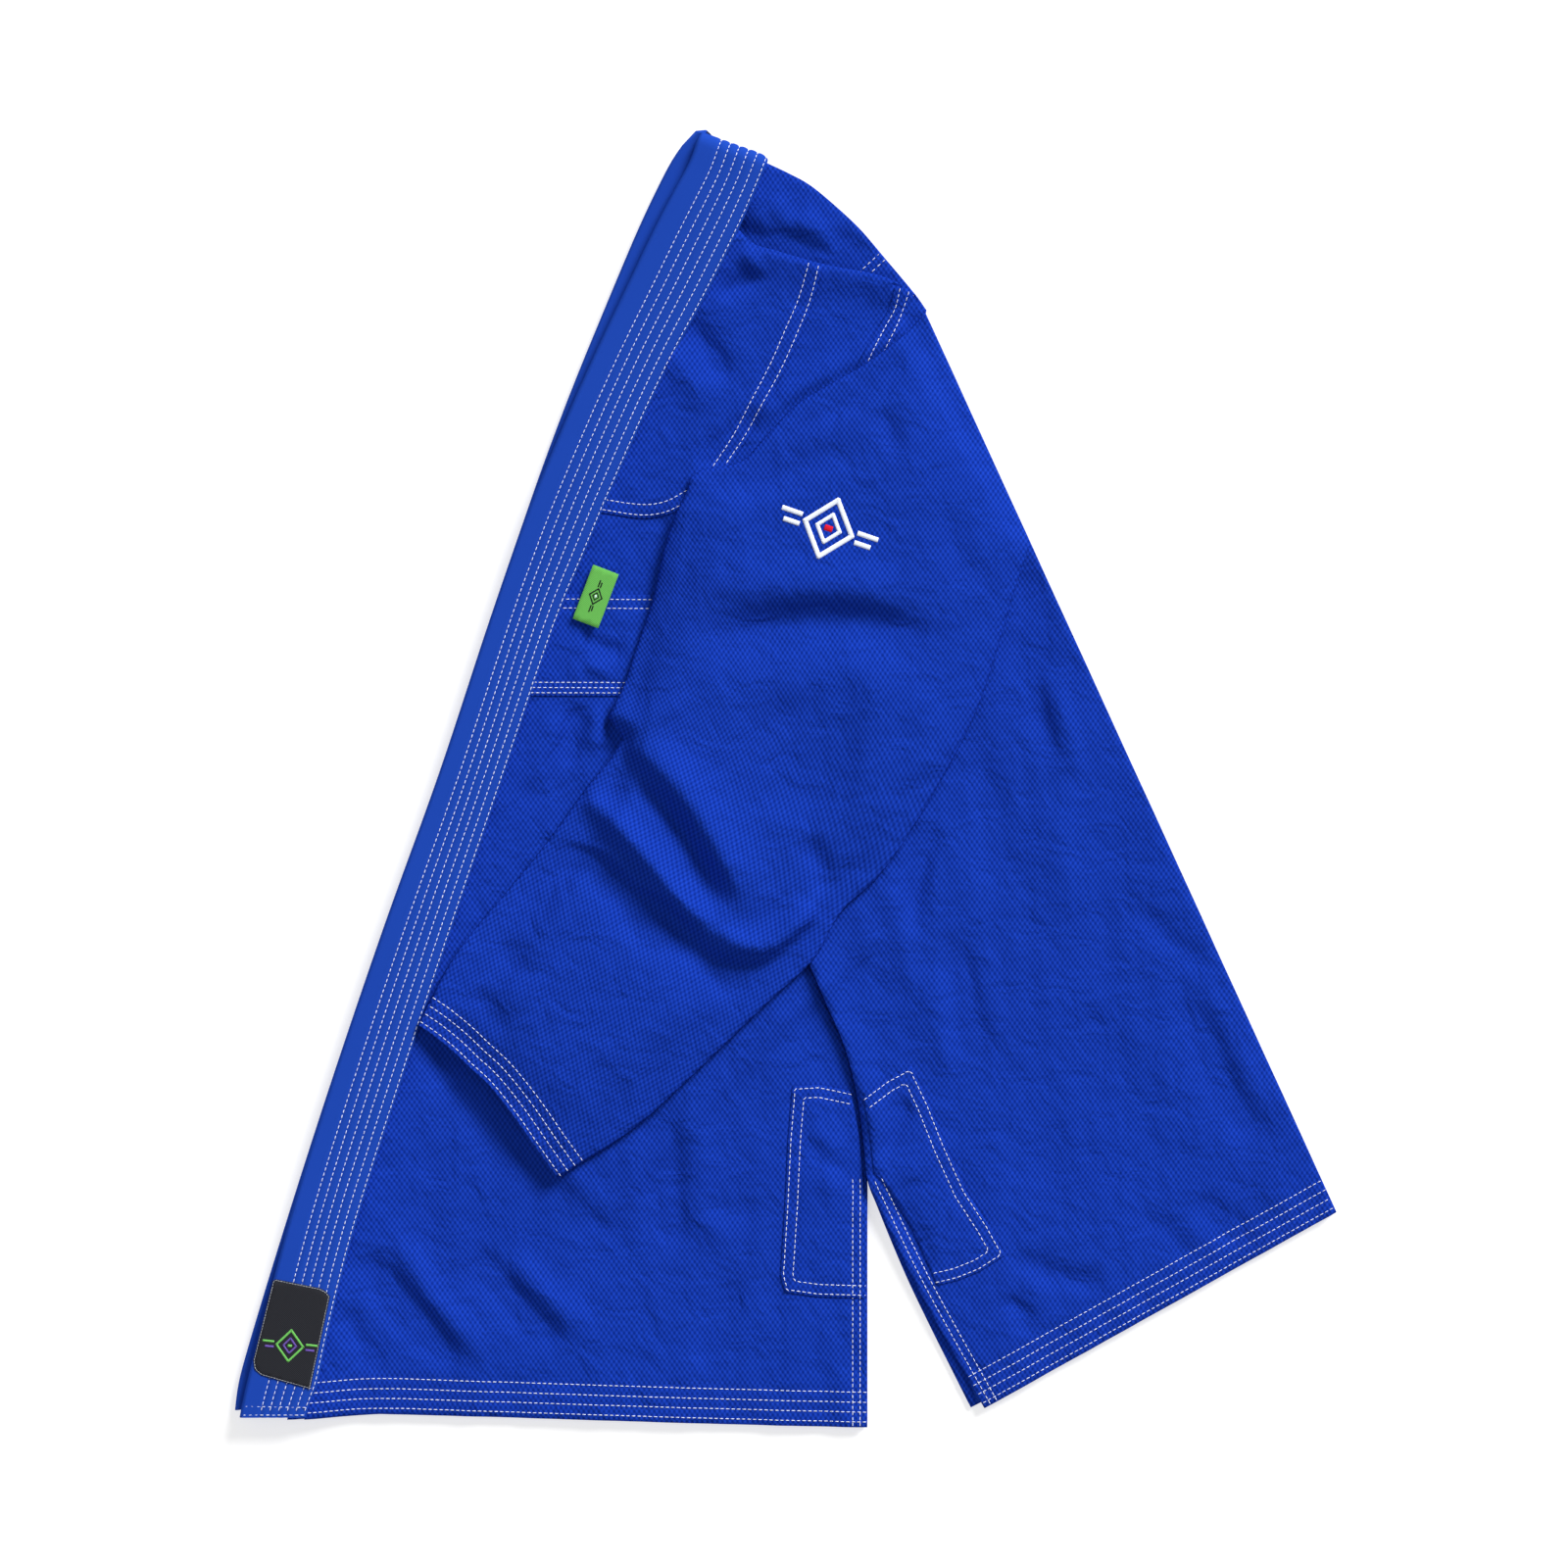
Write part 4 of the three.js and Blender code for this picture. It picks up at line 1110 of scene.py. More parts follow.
@dataclass
class Collar:
    """The thick stitched band: its upper leg, the bend at the nape and the leg underneath."""

    width: float = 45.0
    thickness: float = 8.5
    near_middle: float = 13.5
    far_middle: float = 4.25
    rows: tuple[float, ...] = (-8.5, -2.6, 3.3, 9.2, 15.1, 21.0)
    steps: int = 150
    nape_room: float = 5.5
    foot: float = -432.5
    squared_over: float = 45.0
    edge_radius: float = 2.4
    quilt_depth: float = 0.75
    quilt_width: float = 1.1
    quilt_swell: float = 0.25

    def leg(self, near: bool) -> tuple[np.ndarray, np.ndarray, np.ndarray]:
        """Middle line of one leg from the hem to the nape.

        Args:
            near: Whether it is the upper leg.

        Returns:
            Places and directions across it, both as (n, 2), and its size. Across points to the panels.
        """
        outer = self._even(BAND_OUTER if near else FAR_BAND_OUTER)
        inner = self._even(BAND_INNER) if near else offset(outer, -self.width)
        middle = (outer + inner) / 2
        run = np.gradient(middle, axis=0)
        across = np.stack([run[:, 1], -run[:, 0]], axis=1) / np.hypot(*run.T)[:, None]
        size = ((inner - outer) * across).sum(1) / self.width
        last = int(np.flatnonzero(np.hypot(*(middle - middle[-1]).T) > self.nape_room)[-1]) + 1
        return middle[:last], across[:last], size[:last]

    def squared(self, places: np.ndarray) -> np.ndarray:
        """Turns the band's slanted foot square to the hem.

        Args:
            places: Places on the band, as (n, 3).

        Returns:
            The same places, moved along the jacket near the foot only.
        """
        middle, across, _ = self.leg(True)
        end = middle[0, 1] + (places[:, 0] - middle[0, 0]) * across[0, 1] / across[0, 0]
        share = 1 - smoothstep((places[:, 1] - end) / self.squared_over)
        moved = places.copy()
        moved[:, 1] += share * (self.foot - end)
        return moved

    def _even(self, line: Line) -> np.ndarray:
        """A measured line as even, soft steps."""
        fine = resampled(curved(np.array(line, float), 8), 2.0)
        padded = np.vstack([2 * fine[0] - fine[8:0:-1], fine, 2 * fine[-1] - fine[-2:-10:-1]])
        soft = np.hanning(19)[1:-1] / np.hanning(19).sum()
        fine = np.stack([np.convolve(padded[:, i], soft, "valid") for i in (0, 1)], axis=1)
        at = np.linspace(0, 1, self.steps)
        return np.stack([np.interp(at, np.linspace(0, 1, len(fine)), fine[:, i]) for i in (0, 1)], axis=1)

    def profile(self, inset: float = 0.0, quilted: bool = True) -> np.ndarray:
        """The band's section with its quilted faces.

        Args:
            inset: How much smaller it is on every side.
            quilted: Whether the stitch rows pull it in.

        Returns:
            Points as (n, 2), across and up.
        """
        half, tall = self.width / 2 - inset, self.thickness / 2 - inset
        soft = self.edge_radius
        across = np.unique(np.concatenate([np.linspace(-half + soft, half - 0.8, 58), self.rows]))
        across = across[(across > -half + 2) & (across < half - 0.6)]
        slope = np.clip((half - across) / 7, 0, 1) ** 0.6
        top = tall * (0.62 + 0.38 * slope)
        if quilted:
            pull = sum(np.exp(-(((across - r) / self.quilt_width) ** 2)) for r in self.rows)
            top -= self.quilt_depth * pull
            top += self.quilt_swell
        turn = np.linspace(math.pi / 2, 3 * math.pi / 2, 12)[1:-1]
        left = np.stack([-half + soft + soft * np.cos(turn), top[0] * np.sin(turn)], axis=1)
        right = np.array([(half - 0.1, top[-1] * 0.6), (half, 0.0), (half - 0.1, -top[-1] * 0.6)])
        upper = np.column_stack([across, top])
        lower = np.column_stack([across, -top])
        return np.vstack([upper[::-1], left, lower, right[::-1]])

    def path(self) -> tuple[np.ndarray, np.ndarray, np.ndarray]:
        """The whole band's middle line, its up directions and its fullness."""
        near, _, size = self.leg(True)
        far, _, _ = self.leg(False)
        along, radius = self._bend(near)
        turn = np.linspace(0, math.pi, 15)
        points = [(x, y, self.near_middle) for x, y in near]
        up = [(0.0, 0.0, 1.0)] * len(near)
        for a in turn[1:-1]:
            out = along * radius * math.sin(a)
            points.append((*(near[-1] + out), self.far_middle + radius * (1 + math.cos(a))))
            up.append((along[0] * math.sin(a), along[1] * math.sin(a), math.cos(a)))
        points += [(x, y, self.far_middle) for x, y in far[::-1]]
        up += [(0.0, 0.0, -1.0)] * len(far)
        size[:2] = size[2] * 0.985, size[2] * 0.997
        at = np.linspace(0, 1, len(far))
        under = size[0] + (1 - size[0]) * smoothstep(at * 3) + (size[-1] - 1) * smoothstep(at * 6 - 5)
        full = np.concatenate([size, np.full(13, size[-1]), under[::-1]])
        return np.array(points, float), np.array(up, float), full

    def sweep(
        self, name: str, tree: Tree, profile: np.ndarray, finish: Finish, short: int
    ) -> bpy.types.Object:
        """Carries a profile along the band.

        Args:
            name: The piece's name.
            tree: The sweep's node tree.
            profile: Its section.
            finish: What it is made of.
            short: How many steps are left off at both ends.

        Returns:
            The object.
        """
        points, up, full = self.path()
        if short:
            points, up, full = (v[short:-short] for v in (points, up, full))
        made = line_object(name, [points])
        made.data.attributes.new("up", "FLOAT_VECTOR", "POINT").data.foreach_set("vector", up.ravel())
        made.data.attributes.new("fullness", "FLOAT", "POINT").data.foreach_set("value", full)
        upright = np.column_stack([profile[:, 1], profile[:, 0], np.zeros(len(profile))])
        section = line_object(name + "_section", [upright], True)
        tree.bake(made, Profile=section, Cover=finish.material())
        bpy.data.objects.remove(section)
        places = np.zeros(3 * len(made.data.vertices), np.float32)
        made.data.vertices.foreach_get("co", places)
        places = self.squared(places.reshape(-1, 3) / METRE) * METRE
        places[:, 2] = np.maximum(places[:, 2], 0.1 * short * METRE)
        made.data.vertices.foreach_set("co", places.astype(np.float32).ravel())
        return mended(made, face_out)

    def build(self, tree: Tree) -> None:
        """Makes the cover and the core inside it."""
        cover = self.sweep("collar_band", tree, self.profile(), TWILL, 0)
        settle(cover, "jacket", TWILL, ("collar_cover",))
        core = self.sweep("collar_band_core", tree, self.profile(1.4, False), CORE, 2)
        settle(core, "jacket", CORE, ("collar_core",))

    def sew(self, sewing: Sewing) -> None:
        """Adds the band's long rows, and the short ones across its foot, on both faces."""
        for up, middle_height in ((1.0, self.near_middle), (-1.0, self.far_middle)):
            middle, across, size = self.leg(up > 0)
            section = self.profile()
            for row in self.rows:
                rise = float(section[np.hypot(*(section - (row, 4.0)).T).argmin(), 1]) + THREAD_RISE
                line = middle + across * row * size[:, None]
                z = middle_height + up * rise * size
                row_line = np.column_stack([line, z])[1:]
                if up > 0:
                    row_line = np.vstack([row_line, self._over_bend(middle, line[-1], rise * size[-1])])
                sewing.rows.append(self.squared(row_line))
            z = middle_height + up * (self.thickness / 2 - 0.28)
            for back in (1.8, 7.6):
                step = middle[1] - middle[0]
                along = step / np.hypot(*step)
                ends = [middle[0] + along * back + across[0] * s for s in (-19.5, 20.5)]
                line = resampled(np.array(ends), 3.0)
                sewing.rows.append(self.squared(np.column_stack([line, np.full(len(line), z + 0.4 * up)])))

    def _bend(self, middle: np.ndarray) -> tuple[np.ndarray, float]:
        """Which way the bend at the nape goes on from a leg, and its radius."""
        along = middle[-1] - middle[-2]
        return along / np.hypot(*along), (self.near_middle - self.far_middle) / 2

    def _over_bend(self, middle: np.ndarray, start: np.ndarray, rise: float) -> np.ndarray:
        """The end of a row where it goes over the bend at the nape."""
        along, radius = self._bend(middle)
        out = []
        for a in (0.3, 0.6, 0.9, 1.2, 1.5):
            place = start + along * (radius + rise) * math.sin(a)
            out.append((*place, self.far_middle + radius + (radius + rise) * math.cos(a)))
        return np.array(out)


# ---- one half of the body ----
NECK_ROWS: tuple[Line, ...] = (
    ((16, 345), (9, 321), (0, 300), (-10, 277), (-23, 252), (-35, 229), (-48, 209)),
    ((23, 345), (17, 321), (9, 300), (-3, 273), (-16, 249), (-27, 229), (-39, 211)),
    ((-122, 185), (-98, 182), (-81, 184), (-64, 193)),
    ((-122, 178), (-98, 175), (-81, 177), (-66, 184)),
)
ARM_ROWS: tuple[Line, ...] = (
    ((77, 326), (74, 314), (66, 299), (59, 285), (50, 266)),
    ((83, 324), (80, 315), (75, 302), (69, 290), (60, 271)),
)
CHEST_ROWS: tuple[Line, ...] = (
    ((-150, 118), (-40, 118)),
    ((-152, 112), (-42, 112)),
    ((-172, 62), (-60, 62)),
    ((-173, 58.5), (-60, 58.5)),
    ((-174, 55), (-60, 55)),
)
YOKE_ROWS: tuple[Line, ...] = (((50, 339), (63, 351)), ((56, 337), (68, 348)))
NECK_PATCH: Line = (
    (-122, 176), (-98, 173), (-81, 175), (-64, 182), (-50, 196), (-37, 209), (-25, 228), (-14, 248),
    (-1, 272), (11, 299), (19, 320), (25, 342), (13, 345), (-8, 351), (-21, 355), (-31, 364),
    (-45, 366), (-57, 345), (-80, 290), (-104, 235), (-128, 177),
)
CHEST_PATCH: Line = ((-186, 53), (-22, 53), (-22, 121), (-162, 121))
VENT_PATCH_FRONT: Line = (
    (53.5, -353), (52.5, -274), (50, -244), (44, -214), (23, -209.5), (5, -210.5), (2, -247), (0, -290),
    (-3, -338), (0, -349), (22, -352),
)
VENT_PATCH_BACK: Line = (
    (53, -217), (57, -240), (60, -268), (70, -279), (86, -307), (103, -344), (116, -341), (131, -335),
    (148, -324), (137, -304), (122, -281), (108, -250), (97, -222), (85, -197), (68, -206),
)


HEM_LIFT: Line = ((-335, 4.0), (-275, 8.0), (-186, 5.5), (-34, 1.5), (50, 0.0), (56, 0.0))
NAPE = (-15.0, 408.0)
YOKE_EDGE: Line = (
    (95, 313), (88, 323), (80, 333), (63, 353), (49, 369), (34, 383), (17, 397), (2, 405), (-14, 412),
)
LABEL: Line = (
    (-319.5, -413), (-306.2, -351), (-309, -347.5), (-313, -345.5), (-342.5, -339.5), (-344.2, -340.5),
    (-357.5, -394), (-356.5, -400), (-352, -403.8),
)
SLEEVE_HEAD: Line = (
    (-14, 52), (10, 49), (20, 78), (31, 111), (46, 151), (65, 200), (82, 247), (91, 285), (94, 304),
    (93, 313), (83, 327), (74, 328), (70, 314), (62, 300), (54, 286), (39, 254), (17, 205), (0, 156),
    (-10, 115), (-14, 81),
)


@dataclass
class Half:
    """The front panel, half the back panel and their trims, on one side of the fold."""

    side: Side
    pile: Pile
    ply: float = 1.4
    trim: float = 1.0
    hem_rows: tuple[float, ...] = (3.4, 10.0, 16.6, 23.4)
    vent_rows: tuple[float, ...] = (4.6, 9.6)
    patch_rows: tuple[float, ...] = (1.8, 8.2)

    def __post_init__(self) -> None:
        """Reads the cuts and lays out the seams."""
        name = self.side.value
        self.up = 1.0 if self.side is Side.LEFT else -1.0
        self.names = {"front": f"{name}_front_panel", "back": f"back_panel_{name}_half"}
        self.cuts = {k: Outline.of_faces(n, 1.0) for k, n in self.names.items()}
        self.cuts["front"] = self.cuts["front"].lifted(HEM_LIFT)
        self.cuts["back"] = self.cuts["back"].rerouted(np.array(YOKE_EDGE, float)).lowered(NAPE)
        if self.side is Side.LEFT:
            # Along the shoulder the front's edge lies over the back's, from the collar on.
            line = np.array(((-48, 368), *SHOULDER), float)
            self.cuts["front"] = self.cuts["front"].rerouted(line[::-1] + (0, 1.0))
            self.cuts["back"] = self.cuts["back"].rerouted(line - (0, 9.0))
        self.cuts = {k: cut.smoothed() for k, cut in self.cuts.items()}
        self.middle = {"front": self.pile.under, "back": self.pile.under}
        self.patches = {
            "neck_patch": Outline.of(NECK_PATCH, 50),
            "chest_patch": Outline.of(CHEST_PATCH),
            "vent_patch_front": Outline.of(VENT_PATCH_FRONT),
            "vent_patch_back": Outline.of(VENT_PATCH_BACK),
            "sleeve_head": Outline.of_faces(f"{name}_sleeve_head", 1.0),
        }
        if self.side is Side.LEFT:
            self.middle = {"front": self.pile.front, "back": self.pile.back}
            self.patches["sleeve_head"] = Outline.of(SLEEVE_HEAD, 40)
        self.seams = {"front": self._front_seams(), "back": self._back_seams()}

    def _front_seams(self) -> list[np.ndarray]:
        """Every stitched line of the front panel."""
        edges = ((-335, -438), (55, -440)), ((55, -440), (55, -274)), ((44, -214), (53.5, -353))
        return self._seams("front", (*NECK_ROWS, *CHEST_ROWS), *edges)

    def _back_seams(self) -> list[np.ndarray]:
        """Every stitched line of the back panel."""
        edges = ((134, -426), (372, -302)), ((56, -276), (134, -426)), ((103, -344), (53, -217))
        return self._seams("back", YOKE_ROWS, *edges)

    def _seams(
        self, part: str, rows: tuple[Line, ...], hem: Line, vent: Line, patch: Line
    ) -> list[np.ndarray]:
        """Every stitched line of a panel.

        Args:
            part: The panel.
            rows: Its rows that follow no edge.
            hem: Where its hem starts and ends.
            vent: Where its side vent starts and ends.
            patch: Where the free edge of its vent patch starts and ends.

        Returns:
            The lines, each as (n, 2).
        """
        seams = []
        for ends, depths in ((hem, self.hem_rows), (vent, self.vent_rows)):
            edge = resampled(self.cuts[part].stretch(*ends), 6)
            seams += [offset(edge, d) for d in depths]
        seams += [line_of(row) for row in rows]
        return seams + self._patch_seams(self.patches["vent_patch_" + part].stretch(*patch))

    def _patch_seams(self, edge: np.ndarray) -> list[np.ndarray]:
        """Rows of stitches inside a patch's free edge, its corners kept sharp."""
        out = []
        for depth in self.patch_rows:
            run = np.diff(edge, axis=0)
            run /= np.hypot(*run.T)[:, None]
            left = np.stack([-run[:, 1], run[:, 0]], axis=1)
            corners = [edge[0] + left[0] * depth]
            for i in range(1, len(edge) - 1):
                mean = left[i - 1] + left[i]
                mean /= np.hypot(*mean)
                corners.append(edge[i] + mean * depth / max(float(mean @ left[i]), 0.5))
            corners.append(edge[-1] + left[-1] * depth)
            out.append(np.array(corners))
        return out

    def face(self, part: str) -> Height:
        """Height of the stitched face of a panel, on top of any patch there."""
        middle = self.middle[part]

        def top(p: np.ndarray) -> np.ndarray:
            raised = np.zeros(len(p))
            for patch in self.patches.values():
                raised = np.maximum(raised, np.where(patch.contains(p), self.trim, 0.0))
            return middle(p) + self.up * (self.ply / 2 + raised - DENT + THREAD_RISE)

        return top

    def build(self) -> None:
        """Makes the two panels and every trim of this half."""
        fine = FINE if self.side is Side.LEFT else COARSE
        for part, node in self.names.items():
            dents = tuple(self.seams[part])
            panel = Cloth(f"{node}_cloth", self.cuts[part], PEARL, self.ply, fine, dents=dents)
            made = panel.lay(self.middle[part], self.up)
            settle(made, "jacket", PEARL, (node,), self.cuts[part])
        for name, patch in self.patches.items():
            part = "back" if name.endswith("back") else "front"
            self._trim(name, patch, part, Layer.OUTER, PEARL)
        for name in ("front_hem_tape", "back_hem_tape", "side_seam_tape", "armhole_tape"):
            part = "back" if name.startswith("back") else "front"
            cut = Outline.of_faces(f"{self.side.value}_{name}", 1.0).lifted(HEM_LIFT)
            self._trim(name, cut, part, Layer.INNER, FACING)

    def _trim(self, name: str, cut: Outline, part: str, layer: Layer, finish: Finish) -> None:
        """Makes one trim and lays it on its panel.

        Args:
            name: Its CAD node's name without the side.
            cut: Its edge.
            part: The panel that it lies on.
            layer: On which face of the panel.
            finish: What it is made of.
        """
        node = f"{self.side.value}_{name}"
        way = self.up if layer is Layer.OUTER else -self.up
        away = way * (self.ply / 2 + self.trim / 2 + HAIR)
        middle = self.middle[part]
        dents = tuple(self.seams[part]) if layer is Layer.OUTER else ()
        if name == "sleeve_head":
            dents = tuple(line_of(row) for row in ARM_ROWS)
        fine = 3.2 if self.side is Side.LEFT and layer is Layer.OUTER else COARSE
        cloth = Cloth(f"{node}_cloth", cut, finish, self.trim, fine, dents=dents)
        made = cloth.lay(lambda p: np.maximum(middle(p) + away, self.trim / 2 + HAIR), self.up)
        settle(made, "jacket", finish, (node,), cut)

    def sew(self, sewing: Sewing) -> None:
        """Adds every row of this half."""
        for part, seams in self.seams.items():
            for line in seams:
                sewing.add(line, self.face(part), self.cuts[part])
        for row in ARM_ROWS:
            sewing.add(line_of(row), self.face("front"), self.patches["sleeve_head"])


# ---- sleeves ----
SLEEVE_EDGE: Line = (
    (165, 156), (94.5, 311), (80, 296), (55, 277), (36, 266), (13, 253), (0, 242), (-18, 222),
    (-29, 211), (-44, 207), (-56, 205), (-64, 200), (-67, 189), (-73, 177), (-81, 153), (-89, 118),
    (-95, 100), (-102, 80), (-108, 62), (-119, 39), (-109, 25), (-118, 10), (-133, -8), (-154, -37),
    (-175, -64), (-196, -89), (-219, -117), (-233, -141), (-247, -168), (-238, -174), (-227, -183),
    (-213, -196), (-199, -209), (-183, -229), (-167, -252), (-153, -272), (-135, -260), (-117, -249),
    (-93, -231), (-66, -206), (-42, -183), (-10, -152), (13, -131), (24, -117), (38, -92), (65, -66),
    (92, -26), (125, 34), (144, 88), (155, 126),
)
CUFF_ENDS = ((-247, -168), (-153, -272))
ELBOW = (-20.0, 20.0)


def arm_grain(flat: np.ndarray) -> np.ndarray:
    """Places in the sleeve's weave: straight along the upper arm, turned past the elbow."""
    down = (ELBOW[1] + 20 - flat[:, 1]) * 0.8 + (ELBOW[0] - flat[:, 0]) * 0.6
    turn = np.radians(24) * smoothstep((down + 90) / 220)
    off = flat - np.array(ELBOW)
    x, y, c, s = *off.T, np.cos(turn), np.sin(turn)
    return np.column_stack([x * c - y * s, x * s + y * c])


@dataclass
class LeftSleeve:
    """The sleeve that lies folded over the jacket: a tube with an open cuff."""

    pile: Pile
    ply: float = 1.3
    cuff_rows: tuple[float, ...] = (2.8, 8.8, 14.8, 20.8)
    facing_depth: float = 30.0
    facing_ply: float = 0.6
    facing_room: float = 0.35
    mouth_zone: float = 9.0
    mouth_rise: float = 4.4

    def __post_init__(self) -> None:
        """Finds the cuff on the sleeve's edge."""
        self.cut = self.pile.near_sleeve
        self.cuff = resampled(self.cut.stretch(*CUFF_ENDS), 4)
        self.rows = [offset(self.cuff, d) for d in self.cuff_rows]

    def build(self) -> None:
        """Makes the tube and the facing inside its cuff."""
        cloth = Cloth("left_sleeve_cloth", self.cut, PEARL, self.ply, FINE, dents=tuple(self.rows))
        flat, triangles = cloth.flat_mesh(rings=(0.5, 1.5, 3.0))
        upper = np.column_stack([flat, self.top(flat) - cloth.dent(flat)])
        lower = np.column_stack([flat, self.floor(flat)])
        rim = open_edges(triangles)[:, 0]
        free = nearest(flat[rim], self.cuff)[0] > 0.3
        welded = {int(v) for v in rim[free]}
        count = len(flat)
        faces = [tuple(t) for t in triangles]
        for t in triangles[:, ::-1]:
            faces.append(tuple(int(v) if int(v) in welded else int(v) + count for v in t))
        grain = np.vstack([arm_grain(flat), arm_grain(flat)])
        made = made_object("left_sleeve_cloth", np.vstack([upper, lower]), faces, PEARL, grain)
        mended(made, drop_loose)
        thickened(made, self.ply, -1.0)
        nodes, below = ("left_sleeve_under", "left_sleeve_upper"), ("left half of the jacket",)
        settle(made, "left_sleeve", PEARL, nodes, self.cut)
        self._facing()

    def top(self, p: np.ndarray) -> np.ndarray:
        """Height of the upper layer, held open a little at the cuff."""
        return self._at_mouth(p, self.pile.sleeve_top(p), self.mouth_rise)

    def floor(self, p: np.ndarray) -> np.ndarray:
        """Height of the lower layer."""
        return self._at_mouth(p, self.pile.sleeve_floor(p), -self.pile.seat)

    def _at_mouth(self, p: np.ndarray, tube: np.ndarray, rise: float) -> np.ndarray:
        """A layer's height, brought to an even, open mouth at the cuff."""
        at_cuff = np.exp(-((nearest(p, self.cuff)[0] / self.mouth_zone) ** 2))
        depth = np.maximum(nearest(p, self._sides())[0], 0)
        mouth = self.pile.sleeve_base(p) + self.pile.seat + rise * self.pile.rounded(depth)
        return tube + (mouth - tube) * at_cuff

    def _sides(self) -> np.ndarray:
        """The sleeve's edge without its cuff."""
        return self.cut.stretch(CUFF_ENDS[1], CUFF_ENDS[0])

    def _facing(self) -> None:
        """Makes the strip of twill that lines the cuff."""
        inner = offset(self.cuff, self.facing_depth)
        there = np.linspace(0.03, 0.97, 34)
        shares = np.concatenate([there, np.linspace(0.97, 0.03, 34)])
        outer, deep = (
            np.stack([np.interp(shares, np.linspace(0, 1, len(e)), e[:, k]) for k in (0, 1)], axis=1)
            for e in (self.cuff, inner)
        )
        way = np.where(np.arange(len(shares)) < len(there), 1, -1)
        rings = []
        for depth in np.linspace(0.02, 1.0, 9):
            p = outer + (deep - outer) * depth
            roof = self.top(p) - self.ply - self.facing_room
            ground = self.floor(p) + self.ply + self.facing_room
            reach = np.maximum((roof - ground) / 2, 0.25)
            rings.append(np.column_stack([p, (roof + ground) / 2 + way * reach]))
        around = len(shares)
        faces = []
        for a in range(around * (len(rings) - 1)):
            b = a - around + 1 if (a + 1) % around == 0 else a + 1
            faces.append((a, b, b + around, a + around))
        vertices = np.vstack(rings)
        made = made_object("left_cuff_facing_cloth", vertices, faces, FACING, vertices[:, :2])
        thickened(made, self.facing_ply, 0.0)
        strip = Outline(np.vstack([self.cuff, inner[::-1]]))
        settle(made, "left_sleeve", FACING, ("left_cuff_facing",), strip)

    def sew(self, sewing: Sewing) -> None:
        """Adds the rows round the cuff."""
        for row in self.rows:
            sewing.add(row, lambda p: self.top(p) - 0.2, self.cut, 1.6)


@dataclass
class RightSleeve:
    """The sleeve that lies flat under the jacket."""

    pile: Pile

    def build(self) -> None:
        """Makes its two layers and the facing in its cuff."""
        for node, middle in (("right_sleeve_under", 0.75), ("right_sleeve_upper", 3.5)):
            cut = Outline.of_faces(node, 1.0).smoothed()
            made = Cloth(f"{node}_cloth", cut, PEARL, 1.3, 7.0).lay(lambda p, z=middle: np.full(len(p), z))
            settle(made, "jacket", PEARL, (node,), cut)
        cut = Outline.of_faces("right_cuff_facing", 1.0)
        facing = Cloth("right_cuff_facing_cloth", cut, FACING, 0.8, COARSE)
        made = facing.lay(lambda p: np.full(len(p), 2.1))
        settle(made, "jacket", FACING, ("right_cuff_facing",), cut)


# ---- labels and embroidery ----
@dataclass(frozen=True)
class Stroke:
    """One embroidered line of a plain motif, in shares of the motif's half size."""

    line: Line
    finish: Finish
    width: float = 1.0


MOTIF = (
    Stroke(((-0.5, 0.0), (0.0, 0.95), (0.5, 0.0), (0.0, -0.95), (-0.5, 0.0)), WHITE),
    Stroke(((-0.24, 0.0), (0.0, 0.46), (0.24, 0.0), (0.0, -0.46), (-0.24, 0.0)), WHITE, 0.8),
    Stroke(((-1.0, 0.16), (-0.62, 0.16)), WHITE),
    Stroke(((-0.9, -0.16), (-0.62, -0.16)), WHITE),
    Stroke(((0.62, 0.16), (1.0, 0.16)), WHITE),
    Stroke(((0.62, -0.16), (0.9, -0.16)), WHITE),
    Stroke(((-0.045, 0.0), (0.045, 0.0)), RED, 1.2),
)


